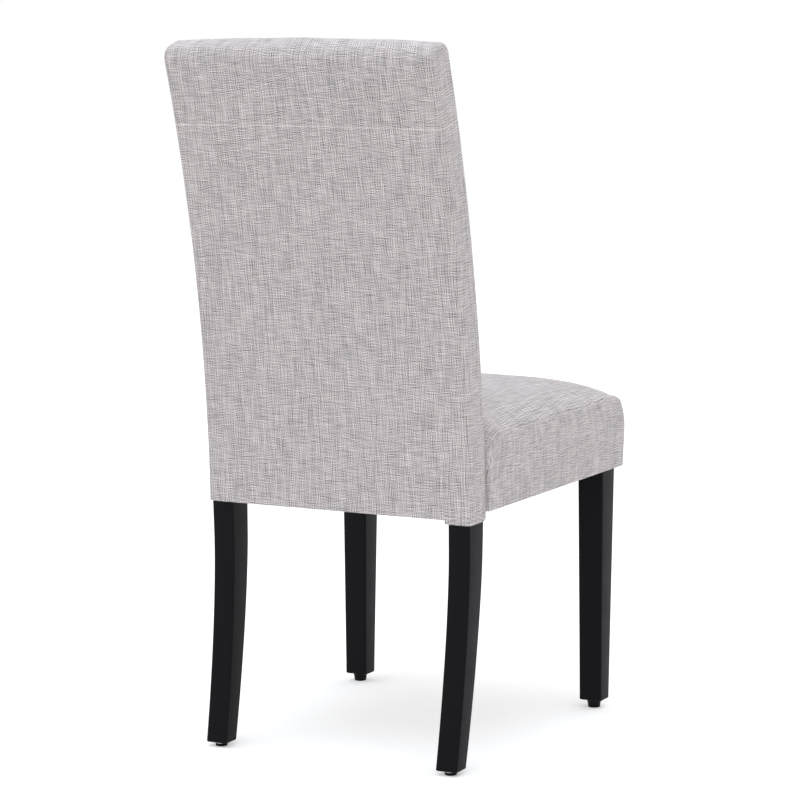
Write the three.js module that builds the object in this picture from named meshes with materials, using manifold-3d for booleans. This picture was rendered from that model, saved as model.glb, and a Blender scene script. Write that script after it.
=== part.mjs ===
// An upholstered parsons dining chair, built as the two units that bolt together: a back unit
// on one-piece sawn rear posts, and a seat unit on two tapered front legs.
// Millimetres, Z up. The sitter faces -Y, and the sitter's left is +X.

import * as THREE from "three";
import { mergeVertices } from "three/addons/utils/BufferGeometryUtils.js";
import Module from "manifold-3d";

const wasm = await Module();
wasm.setup();

// Fits
const fit_gap = 0.3; // between hard pieces that touch
const soft_gap = 0.4; // round foam and wadding
const cut_overrun = 30; // how far a cutting tool reaches past what it cuts

// Cloth
const cloth_thickness = 1.2;
const hem_height = 348; // floor to the lower edge of the back's upholstery
const seat_hem_rise = 6.5; // the seat's lower edge above the back's

// Back, measured over the cloth
const back_width = 417;
const back_thickness = 50;
const back_height = 649; // from the hem to the top of the centre line
const back_rake = 95; // how far the top leans behind the hem
const back_corner_radius = 6;
const back_top_radius = 20;
const back_crown = 5; // rise of the top edge at the middle
const back_crown_power = 6; // how late up the back the crown starts
const back_least_radius = 1.5;
const boot_drop = 5.5; // cloth turned down round the sitter's right rear leg
const boot_wall = 3.4;
const boot_overlap = 3;

// Layers inside the back
const wadding_thickness = 1.9;
const back_foam_thickness = 18;
const top_foam_thickness = 15;
const belt_thickness = 1.5;
const post_side_room = 2; // folded cloth beside each post
const post_front_room = 2; // between the posts' lower fronts and the cloth

// Rear posts
const post_width = 33;
const post_foot_height = 6.5;
const post_foot_depth = 28.8;
const post_edge_radius = 2.5;
const leg_toe_in = 4.3; // how far the foot leans to the middle, below the hem
const leg_sweep = 40.5; // how far the foot stands behind the hem
const leg_sweep_height = 296; // where the sweep starts, above the floor
const leg_sweep_power = 1.56;
const shoulder_height = 60; // above the hem, where the post starts to thin
const thinning_length = 112;

// Rails of the back
const tenon_length = 18;
const tenon_shoulder = 5;
const lower_rail_thickness = 22;
const middle_rail_bottom = 118; // above the hem
const middle_rail_height = 50;
const middle_rail_thickness = 20;
const crest_rail_height = 80;
const back_belt_count = 4;
const back_belt_width = 50;
const back_belt_overlap = 22; // how far a belt lies on each post
const back_foam_bottom = 98; // above the hem

// Seat, measured over the cloth
const seat_rear_width = 424;
const seat_front_width = 446;
const seat_depth = 436;
const seat_side_height = 105; // hem to seam
const seat_crown = 33; // middle of the seat above the seam
const seat_side_bulge = 1;
const seat_front_bulge = 10;
const seat_side_draw = 2; // sides pulled in between the corners
const seat_front_radius = 28; // at the seam
const seat_hem_radius = 17; // of the front corners at the hem
const seat_rear_radius = 16;
const seam_front_dip = 5;
const seam_rear_dip = 21;

// Rows of the wall: height, side inset, front inset, corner radius and draw, as shares of
// the wall's height, the two bulges, the rear radius and the draw
const seat_wall_shares = [
  { height: 0, side: 1, front: 1, radius: 0.3, draw: 0 },
  { height: 0.14, side: 0.85, front: 0.92, radius: 0.3, draw: 0 },
  { height: 0.4, side: 0.35, front: 0.42, radius: 0.35, draw: 0 },
  { height: 0.65, side: 0, front: 0, radius: 0.55, draw: 0.2 },
  { height: 0.82, side: 0.1, front: 0.25, radius: 0.8, draw: 0.6 },
  { height: 0.93, side: 0.5, front: 0.75, radius: 0.95, draw: 0.9 },
  { height: 1, side: 1.1, front: 1.4, radius: 1, draw: 1 },
];
const seat_top_shares = [0.97, 0.9, 0.77, 0.58, 0.36, 0.12];
const seat_crown_power = 4;
const front_dip_share = 0.2; // of the depth, over which the seam falls to the front
const rear_dip_share = 0.11; // of the depth, over which it falls to the back

// Seat frame
const rail_height = 62;
const rail_thickness = 20;
const rail_tenon_thickness = 8;
const rail_tenon_shoulder = 10;
const rail_tenon_length = 14;
const rail_end_chamfer = 5;
const block_thickness = 22;
const block_height = 46;
const rear_block_setback = 12; // from the inner corner of the rails
const hem_turn = 18; // cloth turned in under the rails

// Front legs
const front_leg_width = 40;
const front_leg_depth = 42;
const front_leg_foot_width = 35;
const front_leg_foot_depth = 29;
const front_leg_foot_height = 12;
const front_leg_setback = 46; // behind the front of the seat
const front_leg_foot_rake = 13; // foot stands this far behind the top
const leg_edge_radius = 2.5;
const leg_foot_chamfer = 1.2;
const leg_flat = 3; // depth of the planed inner corner, for the block

// Seat webbing
const seat_belt_width = 50;
const belt_ramp = 8; // from one woven level to the other
const cross_belt_rest = 2; // least flat stretch of a long belt between two ramps
const long_belt_rest = 18; // the same on a cross belt
const seat_belt_overlap = 15; // how far a belt lies on a rail

// Dust cover
const dust_thickness = 0.7;
const dust_inset = 9;
const dust_notch_room = 1.5;

// Glides
const front_glide_top_radius = 10.5;
const front_glide_foot_radius = 9;
const rear_glide_radius = 8.5;
const glide_chamfer = 1;
const glide_stem_radius = 2.5;
const glide_stem_length = 18;

// Bolts and screws
const leg_bolt_radius = 3;
const leg_bolt_grip = 22; // how far it goes into the leg
const leg_bolt_end = 4; // thread past the nut
const leg_washer_radius = 9;
const leg_washer_thickness = 1.5;
const leg_nut_radius = 5.8; // across the corners
const leg_nut_height = 5;
const seat_bolt_radius = 3;
const seat_bolt_head_radius = 6.5;
const seat_bolt_head_height = 4;
const seat_bolt_head_chamfer = 1;
const seat_bolt_socket_radius = 2.4;
const seat_bolt_socket_depth = 2.4;
const seat_bolt_block_room = 32; // from a bolt's axis to the rear corner block
const seat_bolt_height_shares = [0.28, 0.74]; // of the rail height
const insert_radius = 5;
const insert_length = 16;
const screw_radius = 2;
const screw_head_radius = 4;
const screw_head_height = 2.4;
const screw_head_flat_share = 0.7; // of the head's radius, flat on top
const screw_point = 4;
const screw_bite = 15; // how far a screw goes into the rail
const screw_hold = 11; // wood left under the head
const screw_height_shares = [0.3, 0.7]; // of the block height

// Facets
const corner_steps = 4;
const long_steps = 6;
const side_steps = 4;
const wall_steps = 9;
const roll_steps = 5;
const post_steps = 9;
const rail_steps = 5;
const band_steps = 2;
const round_steps = 14;
const screw_steps = 8;

// Sizes that follow
const padded_half = back_thickness / 2 - cloth_thickness - soft_gap;
const post_rear_offset = padded_half - wadding_thickness - fit_gap;
const post_low_offset = -(back_thickness / 2 - cloth_thickness - post_front_room);
const foam_seat = belt_thickness + 2 * fit_gap;
const post_high_offset = -(padded_half - back_foam_thickness - foam_seat);
const post_outer = back_width / 2 - cloth_thickness - soft_gap - post_side_room;
const post_inner = post_outer - post_width;
const back_top = hem_height + back_height;
const frame_top = back_top - cloth_thickness - soft_gap - top_foam_thickness - fit_gap;
const back_frame_bottom = hem_height + cloth_thickness + fit_gap;
const seat_hem = hem_height + seat_hem_rise;
const frame_bottom = seat_hem + cloth_thickness + fit_gap;
const rail_top = frame_bottom + rail_height;
const seat_rear = -post_rear_offset - back_thickness / 2 - fit_gap;
const seat_front = seat_rear - seat_depth;
const rail_outer_skin = seat_side_bulge + cloth_thickness + fit_gap;
const leg_front = seat_front + front_leg_setback;
const leg_rear = leg_front + front_leg_depth;
const front_rail_rear = leg_front + rail_thickness;
const rear_rail_rear = seat_rear - cloth_thickness - fit_gap;
const rear_rail_front = rear_rail_rear - rail_thickness;
const leg_outer = seat_half_width(leg_rear) - rail_outer_skin;
const leg_inner = leg_outer - front_leg_width;
const belt_low = rail_top + fit_gap;
const belt_high = belt_low + belt_thickness + fit_gap;
const foam_bottom = belt_high + belt_thickness + fit_gap;

// Finishes
const cloth = finish(0xbab5b6, 0.92, 0);
const black_lacquer = finish(0x1e1d1f, 0.42, 0);
const pine = finish(0xd2ae7c, 0.75, 0);
const beech = finish(0xc49a6c, 0.7, 0);
const foam = finish(0xe9e0b8, 0.95, 0);
const wadding = finish(0xf1f1ee, 0.98, 0);
const webbing = finish(0x9c7b4f, 0.85, 0);
const black_felt = finish(0x1b1b1c, 0.95, 0);
const black_plastic = finish(0x151516, 0.5, 0);
const zinc = finish(0xb9bcc0, 0.35, 0.9);

function finish(color, roughness, metalness) {
  return new THREE.MeshStandardMaterial({ color, roughness, metalness });
}

// Solids: every cut and join goes through a merged, closed mesh
function solid(geometry) {
  const bare = geometry.clone();
  bare.deleteAttribute("normal");
  bare.deleteAttribute("uv");
  const merged = mergeVertices(bare);
  const vertProperties = new Float32Array(merged.attributes.position.array);
  const triVerts = new Uint32Array(merged.index.array);
  return new wasm.Manifold(new wasm.Mesh({ numProp: 3, vertProperties, triVerts }));
}

function geometry_of(body) {
  const mesh = body.getMesh();
  const geometry = new THREE.BufferGeometry();
  geometry.setAttribute("position", new THREE.BufferAttribute(mesh.vertProperties, 3));
  geometry.setIndex(new THREE.BufferAttribute(mesh.triVerts, 1));
  geometry.computeVertexNormals();
  return geometry;
}

function cut(geometry, tools) {
  return geometry_of(tools.reduce((body, tool) => body.subtract(solid(tool)), solid(geometry)));
}

function join(geometries) {
  const [first, ...others] = geometries.map(solid);
  return geometry_of(others.reduce((body, other) => body.add(other), first));
}

function common(first, second) {
  return geometry_of(solid(first).intersect(solid(second)));
}

function mirrored(geometry) {
  const copy = mergeVertices(geometry.clone().deleteAttribute("normal"));
  copy.scale(-1, 1, 1);
  const order = copy.index.array;
  for (let corner = 0; corner < order.length; corner += 3) {
    const first = order[corner];
    order[corner] = order[corner + 1];
    order[corner + 1] = first;
  }
  copy.computeVertexNormals();
  return copy;
}

// Shapes
function block(x_low, x_high, y_low, y_high, z_low, z_high) {
  const geometry = new THREE.BoxGeometry(x_high - x_low, y_high - y_low, z_high - z_low);
  return geometry.translate((x_low + x_high) / 2, (y_low + y_high) / 2, (z_low + z_high) / 2);
}

function shape_of(points) {
  return new THREE.Shape(points.map(([across, along]) => new THREE.Vector2(across, along)));
}

// An outline drawn in Y and Z, carried along X on both sides of the middle
function extrude_across(points, half_length, bevel = 0) {
  const depth = 2 * (half_length - bevel);
  const geometry = new THREE.ExtrudeGeometry(shape_of(points), {
    depth,
    steps: 1,
    bevelEnabled: bevel > 0,
    bevelThickness: bevel,
    bevelSize: bevel,
    bevelOffset: -bevel,
    bevelSegments: 2,
  });
  const turn = new THREE.Matrix4().makeBasis(
    new THREE.Vector3(0, 1, 0),
    new THREE.Vector3(0, 0, 1),
    new THREE.Vector3(1, 0, 0),
  );
  return geometry.applyMatrix4(turn).translate(-depth / 2, 0, 0);
}

// An outline drawn in X and Y, carried up from z_low to z_high
function extrude_up(points, z_low, z_high) {
  const settings = { depth: z_high - z_low, steps: 1, bevelEnabled: false };
  return new THREE.ExtrudeGeometry(shape_of(points), settings).translate(0, 0, z_low);
}

// A profile of [radius, height] pairs turned round Z
function revolve(profile, steps = round_steps) {
  const points = profile.map(([radius, height]) => new THREE.Vector2(radius, height));
  return new THREE.LatheGeometry(points, steps).rotateX(Math.PI / 2);
}

function rod(radius, z_low, z_high, steps = round_steps) {
  return revolve([[0, z_low], [radius, z_low], [radius, z_high], [0, z_high]], steps);
}

function ring_profile(bore, radius, height) {
  return [[bore, 0], [radius, 0], [radius, height], [bore, height], [bore, 0]];
}

// A closed skin through rings of equal count, each counterclockwise from above
function loft(rings) {
  const count = rings[0].length;
  const points = rings.flat();
  const triangles = [];
  for (let level = 0; level + 1 < rings.length; level += 1) {
    for (let index = 0; index < count; index += 1) {
      const here = level * count + index;
      const next = level * count + ((index + 1) % count);
      triangles.push(here, next, next + count, here, next + count, here + count);
    }
  }
  const last = (rings.length - 1) * count;
  const centres = [rings[0], rings[rings.length - 1]].map(centre_of);
  const bottom = points.length;
  const top = bottom + 1;
  points.push(...centres);
  for (let index = 0; index < count; index += 1) {
    const next = (index + 1) % count;
    triangles.push(bottom, next, index, top, last + index, last + next);
  }
  const geometry = new THREE.BufferGeometry().setFromPoints(points);
  geometry.setIndex(triangles);
  return geometry;
}

function centre_of(ring) {
  const sum = ring.reduce((total, point) => total.add(point), new THREE.Vector3());
  return sum.divideScalar(ring.length);
}

// Counterclockwise outline with round corners: rear pair first, then the front pair
function round_outline(corners, side_counts) {
  const points = [];
  corners.forEach((corner, quarter) => {
    for (let step = 0; step <= corner_steps; step += 1) {
      const angle = (quarter + step / corner_steps) * (Math.PI / 2);
      const across = corner.x + corner.radius * Math.cos(angle);
      const along = corner.y + corner.radius * Math.sin(angle);
      points.push(new THREE.Vector2(across, along));
    }
    const after = corners[(quarter + 1) % corners.length];
    const turned = (quarter + 1) * (Math.PI / 2);
    const start = points[points.length - 1];
    const end_x = after.x + after.radius * Math.cos(turned);
    const end_y = after.y + after.radius * Math.sin(turned);
    const end = new THREE.Vector2(end_x, end_y);
    for (let step = 1; step < side_counts[quarter]; step += 1) {
      points.push(start.clone().lerp(end, step / side_counts[quarter]));
    }
  });
  return points;
}

function smooth(share) {
  const held = Math.min(Math.max(share, 0), 1);
  return held * held * (3 - 2 * held);
}

// Back: a station is a height on the centre line, an offset is square to it, front negative
function back_share(station) {
  return Math.max(station - hem_height, 0) / back_height;
}

function back_point(station, offset) {
  const share = back_share(station);
  const lean = Math.atan((2 * back_rake * share) / back_height);
  const y = -post_rear_offset + back_rake * share ** 2 + offset * Math.cos(lean);
  return [y, station - offset * Math.sin(lean)];
}

function back_ring(station, inset, corner_radius) {
  const half_x = back_width / 2 - inset;
  const half_y = back_thickness / 2 - inset;
  const radius = Math.max(corner_radius - inset, back_least_radius);
  const corners = [[1, 1], [-1, 1], [-1, -1], [1, -1]].map(([side, end]) => {
    return { x: side * (half_x - radius), y: end * (half_y - radius), radius };
  });
  const outline = round_outline(corners, [long_steps, 1, long_steps, 1]);
  return outline.map((point) => {
    const [y, z] = back_point(station, point.y);
    const fall = back_crown * (point.x / (back_width / 2)) ** 2 * back_share(station) ** back_crown_power;
    return new THREE.Vector3(point.x, y, z - fall);
  });
}

function back_form(inset) {
  const rings = [];
  const bottom = hem_height + inset;
  const wall_top = back_top - back_top_radius;
  for (let step = 0; step <= wall_steps; step += 1) {
    const station = bottom + ((wall_top - bottom) * step) / wall_steps;
    rings.push(back_ring(station, inset, back_corner_radius));
  }
  const roll_radius = back_top_radius - inset;
  for (let step = 1; step <= roll_steps; step += 1) {
    const angle = (step / roll_steps) * (Math.PI / 2);
    const drawn = roll_radius * (1 - Math.cos(angle));
    const station = wall_top + roll_radius * Math.sin(angle);
    rings.push(back_ring(station, inset + drawn, back_corner_radius));
  }
  return loft(rings);
}

function post_front_offset(station) {
  const share = smooth((station - hem_height - shoulder_height) / thinning_length);
  return post_low_offset + (post_high_offset - post_low_offset) * share;
}

function stations_between(low, high, count) {
  return Array.from({ length: count + 1 }, (unused, step) => low + ((high - low) * step) / count);
}

// A band of the back's side view between two stations and two offsets
function back_band(low, high, front_offset, rear_offset, count) {
  const stations = stations_between(low, high, count);
  const front = stations.map((station) => back_point(station, front_offset(station)));
  const rear = stations.map((station) => back_point(station, rear_offset(station)));
  return [...front, ...rear.reverse()];
}

// Rear posts
function post_rear_y(height) {
  return leg_sweep * Math.max((leg_sweep_height - height) / leg_sweep_height, 0) ** leg_sweep_power;
}

function post_depth(height) {
  const full = post_rear_offset - post_low_offset;
  return post_foot_depth + ((full - post_foot_depth) * height) / hem_height;
}

function post_outline(grown) {
  const heights = stations_between(post_foot_height, hem_height, post_steps).slice(0, -1);
  const leg_rears = heights.map((height) => [post_rear_y(height) + grown, height]);
  const leg_fronts = heights.map((height) => [post_rear_y(height) - post_depth(height) - grown, height]);
  const upper = back_band(
    hem_height,
    frame_top,
    (station) => post_front_offset(station) - grown,
    () => post_rear_offset + grown,
    post_steps,
  );
  return [...leg_fronts, ...upper, ...leg_rears.reverse()];
}

function rear_post() {
  const middle = (post_inner + post_outer) / 2;
  const body = extrude_across(post_outline(0), post_width / 2, post_edge_radius).translate(middle, 0, 0);
  const mortises = [lower_rail_tenon, middle_rail_tenon, crest_rail_tenon].map((tenon) => tenon(fit_gap));
  const hole = stem_hole(rear_foot_x(), rear_foot_y(), post_foot_height);
  return cut(toed_in(body), [...mortises, hole]);
}

// Below the hem a post leans to the middle, so that the legs stand closer at the floor
function toed_in(geometry) {
  const [upper, lower] = solid(geometry).splitByPlane([0, 0, 1], hem_height);
  const leant = lower.warp((point) => {
    point[0] -= (leg_toe_in * (hem_height - point[2])) / (hem_height - post_foot_height);
  });
  return geometry_of(upper.add(leant));
}

function rear_foot_x() {
  return (post_inner + post_outer) / 2 - leg_toe_in;
}

function rear_foot_y() {
  return post_rear_y(post_foot_height) - post_depth(post_foot_height) / 2;
}

function stem_hole(x, y, foot_height) {
  const reach = foot_height + glide_stem_length + fit_gap;
  return rod(glide_stem_radius + fit_gap, -cut_overrun, reach, screw_steps).translate(x, y, 0);
}

// Rails of the back, tenoned into the posts
function rail_tenon(low, high, front_offset, rear_offset, grown) {
  const band = back_band(
    low + tenon_shoulder - grown,
    high - tenon_shoulder + grown,
    (station) => front_offset(station) + tenon_shoulder - grown,
    (station) => rear_offset(station) - tenon_shoulder + grown,
    band_steps,
  );
  return extrude_across(band, post_inner + tenon_length + grown);
}

function back_rail(low, high, rear_offset, tenon) {
  const body = back_band(low, high, post_front_offset, rear_offset, rail_steps);
  return join([extrude_across(body, post_inner - fit_gap), tenon(0)]);
}

function lower_rail_rear(station) {
  return post_front_offset(station) + lower_rail_thickness;
}

function lower_rail_tenon(grown) {
  return rail_tenon(back_frame_bottom, rail_top, post_front_offset, lower_rail_rear, grown);
}

function back_lower_rail() {
  const body = back_rail(back_frame_bottom, rail_top, lower_rail_rear, lower_rail_tenon);
  return cut(body, seat_bolt_places().map(({ x, z }) => {
    const hole = rod(insert_radius + fit_gap, -cut_overrun, insert_length + fit_gap);
    return hole.rotateX(-Math.PI / 2).translate(x, insert_front(z), z);
  }));
}

function middle_rail_rear(station) {
  return post_front_offset(station) + middle_rail_thickness;
}

function middle_rail_low() {
  return hem_height + middle_rail_bottom;
}

function middle_rail_tenon(grown) {
  const high = middle_rail_low() + middle_rail_height;
  return rail_tenon(middle_rail_low(), high, post_front_offset, middle_rail_rear, grown);
}

function back_middle_rail() {
  const high = middle_rail_low() + middle_rail_height;
  return back_rail(middle_rail_low(), high, middle_rail_rear, middle_rail_tenon);
}

function crest_rail_tenon(grown) {
  const low = frame_top - crest_rail_height;
  return rail_tenon(low, frame_top, post_front_offset, () => post_rear_offset, grown);
}

// The crest rail's top edge is sawn to the back's crown
function crest_rail() {
  const low = frame_top - crest_rail_height;
  const body = back_rail(low, frame_top, () => post_rear_offset, crest_rail_tenon);
  const shoulder = post_inner + tenon_length + cut_overrun;
  const arch = new THREE.Shape();
  const drop = back_crown * (shoulder / (back_width / 2)) ** 2;
  const peak = frame_top - post_high_offset * Math.sin(Math.atan((2 * back_rake) / back_height));
  arch.moveTo(-shoulder, low - cut_overrun);
  arch.lineTo(shoulder, low - cut_overrun);
  arch.lineTo(shoulder, peak - drop);
  arch.quadraticCurveTo(0, peak + drop, -shoulder, peak - drop);
  const depth = 2 * (back_rake + back_thickness);
  const tool = new THREE.ExtrudeGeometry(arch, { depth, bevelEnabled: false, curveSegments: long_steps });
  return common(body, tool.rotateX(Math.PI / 2).translate(0, depth, 0));
}

// Elastic webbing across the posts, between the middle rail and the crest rail
function back_belt(order) {
  const low = middle_rail_low() + middle_rail_height;
  const high = frame_top - crest_rail_height;
  const middle = low + ((high - low) * (order + 1)) / (back_belt_count + 1);
  const band = back_band(
    middle - back_belt_width / 2,
    middle + back_belt_width / 2,
    (station) => post_front_offset(station) - fit_gap - belt_thickness,
    (station) => post_front_offset(station) - fit_gap,
    band_steps,
  );
  return extrude_across(band, post_inner + back_belt_overlap);
}

// Foam in front of the frame, with a return over the crest rail
function back_foam() {
  const low = hem_height + back_foam_bottom;
  const far = back_thickness;
  const rear = stations_between(low, frame_top + fit_gap, post_steps).map((station) => {
    return back_point(station, post_front_offset(station) - foam_seat);
  });
  const region = [
    back_point(low, -far),
    ...rear,
    back_point(frame_top + fit_gap, post_rear_offset),
    back_point(back_top + far, post_rear_offset),
    back_point(back_top + far, -far),
    back_point((low + back_top) / 2, -far),
  ];
  const form = back_form(cloth_thickness + soft_gap);
  return common(form, extrude_across(region, back_width));
}

// Thin wadding behind the frame
function back_wadding() {
  const low = hem_height + cloth_thickness + soft_gap;
  const far = back_thickness;
  const front_offset = post_rear_offset + fit_gap;
  const band = back_band(low, back_top, () => front_offset, () => far, wall_steps);
  const form = back_form(cloth_thickness + soft_gap);
  return common(form, extrude_across(band, back_width));
}

// Cloth sleeve of the back: closed under the lower rail, open round the posts and bolts
function back_cover() {
  const outside = join([back_form(0), boot()]);
  const inside = back_form(cloth_thickness);
  const hole = post_hole();
  return cut(outside, [inside, hole, mirrored(hole), ...bolt_holes()]);
}

function post_hole() {
  const middle = (post_inner + post_outer) / 2;
  const half = post_width / 2 + fit_gap;
  return toed_in(extrude_across(post_outline(fit_gap), half).translate(middle, 0, 0));
}

function boot() {
  const rear = boot_wall;
  const front = -post_depth(hem_height) - (cloth_thickness + fit_gap);
  const x_low = -back_width / 2;
  const x_high = -post_inner + boot_wall;
  return block(x_low, x_high, front, rear, hem_height - boot_drop, hem_height + boot_overlap);
}

// Seat bolts, from inside the seat frame into the lower rail of the back
function seat_bolt_places() {
  const [block_end] = block_cross_point(1, block_reach(1) - block_thickness);
  const spread = block_end - seat_bolt_block_room;
  const heights = seat_bolt_height_shares.map((share) => frame_bottom + rail_height * share);
  return heights.flatMap((z) => [-1, 1].map((side) => ({ x: side * spread, z })));
}

function bolt_holes() {
  return seat_bolt_places().map(({ x, z }) => {
    const reach = rail_thickness + cut_overrun / 2;
    const hole = rod(seat_bolt_radius + fit_gap, -reach, reach, screw_steps);
    return hole.rotateX(Math.PI / 2).translate(x, seat_rear, z);
  });
}

// The inserts lie just inside the front of the lower rail
function insert_front(z) {
  return back_point(z, post_low_offset)[0] + fit_gap;
}

function seat_insert() {
  const bore = seat_bolt_radius + fit_gap;
  return revolve(ring_profile(bore, insert_radius, insert_length));
}

function seat_bolt() {
  const length = seat_bolt_length();
  const shank = [
    [0, seat_bolt_socket_depth - seat_bolt_head_height],
    [seat_bolt_socket_radius, seat_bolt_socket_depth - seat_bolt_head_height],
    [seat_bolt_socket_radius, -seat_bolt_head_height],
    [seat_bolt_head_radius - seat_bolt_head_chamfer, -seat_bolt_head_height],
    [seat_bolt_head_radius, seat_bolt_head_chamfer - seat_bolt_head_height],
    [seat_bolt_head_radius, 0],
    [seat_bolt_radius, 0],
    [seat_bolt_radius, length],
    [0, length],
  ];
  return revolve(shank);
}

function seat_bolt_length() {
  return insert_front(hem_height) + insert_length - (rear_rail_front - fit_gap);
}

// Seat: half the plan's width at a place along its depth
function seat_half_width(y) {
  const share = (seat_rear - y) / seat_depth;
  return (seat_rear_width + (seat_front_width - seat_rear_width) * share) / 2;
}

function seam_dip(y) {
  const share = (seat_rear - y) / seat_depth;
  const ahead = Math.max(share - 1 + front_dip_share, 0) / front_dip_share;
  const behind = Math.max(rear_dip_share - share, 0) / rear_dip_share;
  return seam_front_dip * ahead ** 2 + seam_rear_dip * behind ** 2;
}

function seat_outline(row, inset, height) {
  const joint = back_front_y(height - seam_rear_dip * row.height ** 2) - soft_gap;
  const rear = Math.max(seat_rear, joint) - inset;
  const front = seat_front + seat_front_bulge * row.front + inset;
  const side = seat_side_bulge * row.side + inset;
  const rear_half = seat_rear_width / 2 - side;
  const front_half = seat_front_width / 2 - side;
  const rear_radius = Math.max(seat_rear_radius * row.radius - inset, back_least_radius);
  const rounding = seat_hem_radius + (seat_front_radius - seat_hem_radius) * smooth(row.height);
  const front_radius = rounding - inset;
  const corners = [
    { x: rear_half - rear_radius, y: rear - rear_radius, radius: rear_radius },
    { x: rear_radius - rear_half, y: rear - rear_radius, radius: rear_radius },
    { x: front_radius - front_half, y: front + front_radius, radius: front_radius },
    { x: front_half - front_radius, y: front + front_radius, radius: front_radius },
  ];
  const outline = round_outline(corners, [long_steps, side_steps, long_steps, side_steps]);
  return outline.map((point) => {
    const along = (point.y - rear) / (front - rear);
    const across = point.x / seat_half_width(point.y);
    const side_draw = seat_side_draw * row.draw * 4 * along * (1 - along);
    const front_draw = seat_side_draw * row.draw * (1 - across ** 2) * smooth(2 * along - 1);
    return new THREE.Vector2(point.x - across * side_draw, point.y + front_draw);
  });
}

function back_front_y(height) {
  return back_point(height, -back_thickness / 2)[0];
}

function seat_form(inset) {
  const rings = seat_wall_shares.map((row) => {
    const height = seat_hem + seat_side_height * row.height;
    return seat_outline(row, inset, height).map((point) => {
      const fall = seam_dip(point.y) * row.height ** 2;
      const lift = inset * (1 - 2 * row.height);
      return new THREE.Vector3(point.x, point.y, height - fall + lift);
    });
  });
  const seam = rings[rings.length - 1];
  const middle = (seat_rear + seat_front) / 2;
  const flat = seat_hem + seat_side_height - inset;
  seat_top_shares.forEach((share) => {
    rings.push(seam.map((point) => {
      const x = point.x * share;
      const y = middle + (point.y - middle) * share;
      const across = 1 - Math.abs(x / seat_half_width(y)) ** seat_crown_power;
      const along = 1 - Math.abs((2 * (y - middle)) / seat_depth) ** seat_crown_power;
      const z = flat + (point.z - flat) * share ** 2 + seat_crown * across * along;
      return new THREE.Vector3(x, y, z);
    }));
  });
  return loft(rings);
}

// Seat rails
function side_rail_x(y, depth) {
  return seat_half_width(y) - rail_outer_skin - depth;
}

function side_rail() {
  const front = leg_rear + fit_gap;
  const plan = [
    [side_rail_x(front, rail_thickness), front],
    [side_rail_x(front, 0), front],
    [side_rail_x(rear_rail_rear, 0), rear_rail_rear - rail_end_chamfer],
    [side_rail_x(rear_rail_rear, 0) - rail_end_chamfer, rear_rail_rear],
    [side_rail_x(rear_rail_rear, rail_thickness), rear_rail_rear],
  ];
  const body = join([extrude_up(plan, frame_bottom, rail_top), side_tenon(0)]);
  return cut(body, [rear_rail_tenons(fit_gap), ...screw_holes()]);
}

function side_tenon(grown) {
  const middle = side_rail_x(leg_rear, rail_thickness / 2);
  const half = rail_tenon_thickness / 2 + grown;
  const low = frame_bottom + rail_tenon_shoulder - grown;
  const high = rail_top - rail_tenon_shoulder + grown;
  const front = leg_rear - rail_tenon_length - grown;
  return block(middle - half, middle + half, front, leg_rear + rail_tenon_length, low, high);
}

function cross_tenons(middle, half_span, grown) {
  const half = rail_tenon_thickness / 2 + grown;
  const low = frame_bottom + rail_tenon_shoulder - grown;
  const high = rail_top - rail_tenon_shoulder + grown;
  const reach = half_span + grown;
  return block(-reach, reach, middle - half, middle + half, low, high);
}

function front_rail_tenons(grown) {
  return cross_tenons(front_rail_rear - rail_thickness / 2, leg_inner + rail_tenon_length, grown);
}

function rear_rail_tenons(grown) {
  const reach = side_rail_x(rear_rail_front, rail_thickness / 2);
  return cross_tenons(rear_rail_rear - rail_thickness / 2, reach, grown);
}

function front_rail() {
  const half = leg_inner - fit_gap;
  const body = block(-half, half, leg_front, front_rail_rear, frame_bottom, rail_top);
  return cut(join([body, front_rail_tenons(0)]), both_sides(screw_holes()));
}

function rear_rail() {
  const near = side_rail_x(rear_rail_front, rail_thickness) - fit_gap;
  const far = side_rail_x(rear_rail_rear, rail_thickness) - fit_gap;
  const plan = [
    [-near, rear_rail_front],
    [near, rear_rail_front],
    [far, rear_rail_rear],
    [-far, rear_rail_rear],
  ];
  const body = join([extrude_up(plan, frame_bottom, rail_top), rear_rail_tenons(0)]);
  return cut(body, [...both_sides(screw_holes()), ...bolt_holes()]);
}

function both_sides(geometries) {
  return [...geometries, ...geometries.map(mirrored)];
}

// Corner blocks: end is -1 at the front and 1 at the rear. The reach is measured on the
// diagonal that runs from the seat's middle to the left corner.
function block_reach(end) {
  if (end < 0) {
    return (leg_inner - leg_rear) * Math.SQRT1_2 + leg_flat - fit_gap;
  }
  const corner_x = side_rail_x(rear_rail_front, rail_thickness);
  return (corner_x + rear_rail_front) * Math.SQRT1_2 - rear_block_setback;
}

function block_cross_rail_y(end) {
  return end < 0 ? front_rail_rear + fit_gap : rear_rail_front - fit_gap;
}

// Where a diagonal face meets the side rail and the cross rail
function block_side_point(end, reach) {
  const splay = (seat_front_width - seat_rear_width) / 2 / seat_depth;
  const at_zero = side_rail_x(0, rail_thickness + fit_gap);
  const y = (reach / Math.SQRT1_2 - at_zero) / (end - splay);
  return [at_zero - splay * y, y];
}

function block_cross_point(end, reach) {
  const y = block_cross_rail_y(end);
  return [reach / Math.SQRT1_2 - end * y, y];
}

function block_low() {
  return (frame_bottom + rail_top - block_height) / 2;
}

function corner_block(end) {
  const near = block_reach(end);
  const far = near - block_thickness;
  const plan = [
    block_side_point(end, near),
    block_side_point(end, far),
    block_cross_point(end, far),
    block_cross_point(end, near),
  ];
  const body = extrude_up(plan, block_low(), block_low() + block_height);
  const bolt = end < 0 ? [leg_bolt_hole()] : [];
  return cut(body, [...bolt, ...screw_wells(end)]);
}

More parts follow.
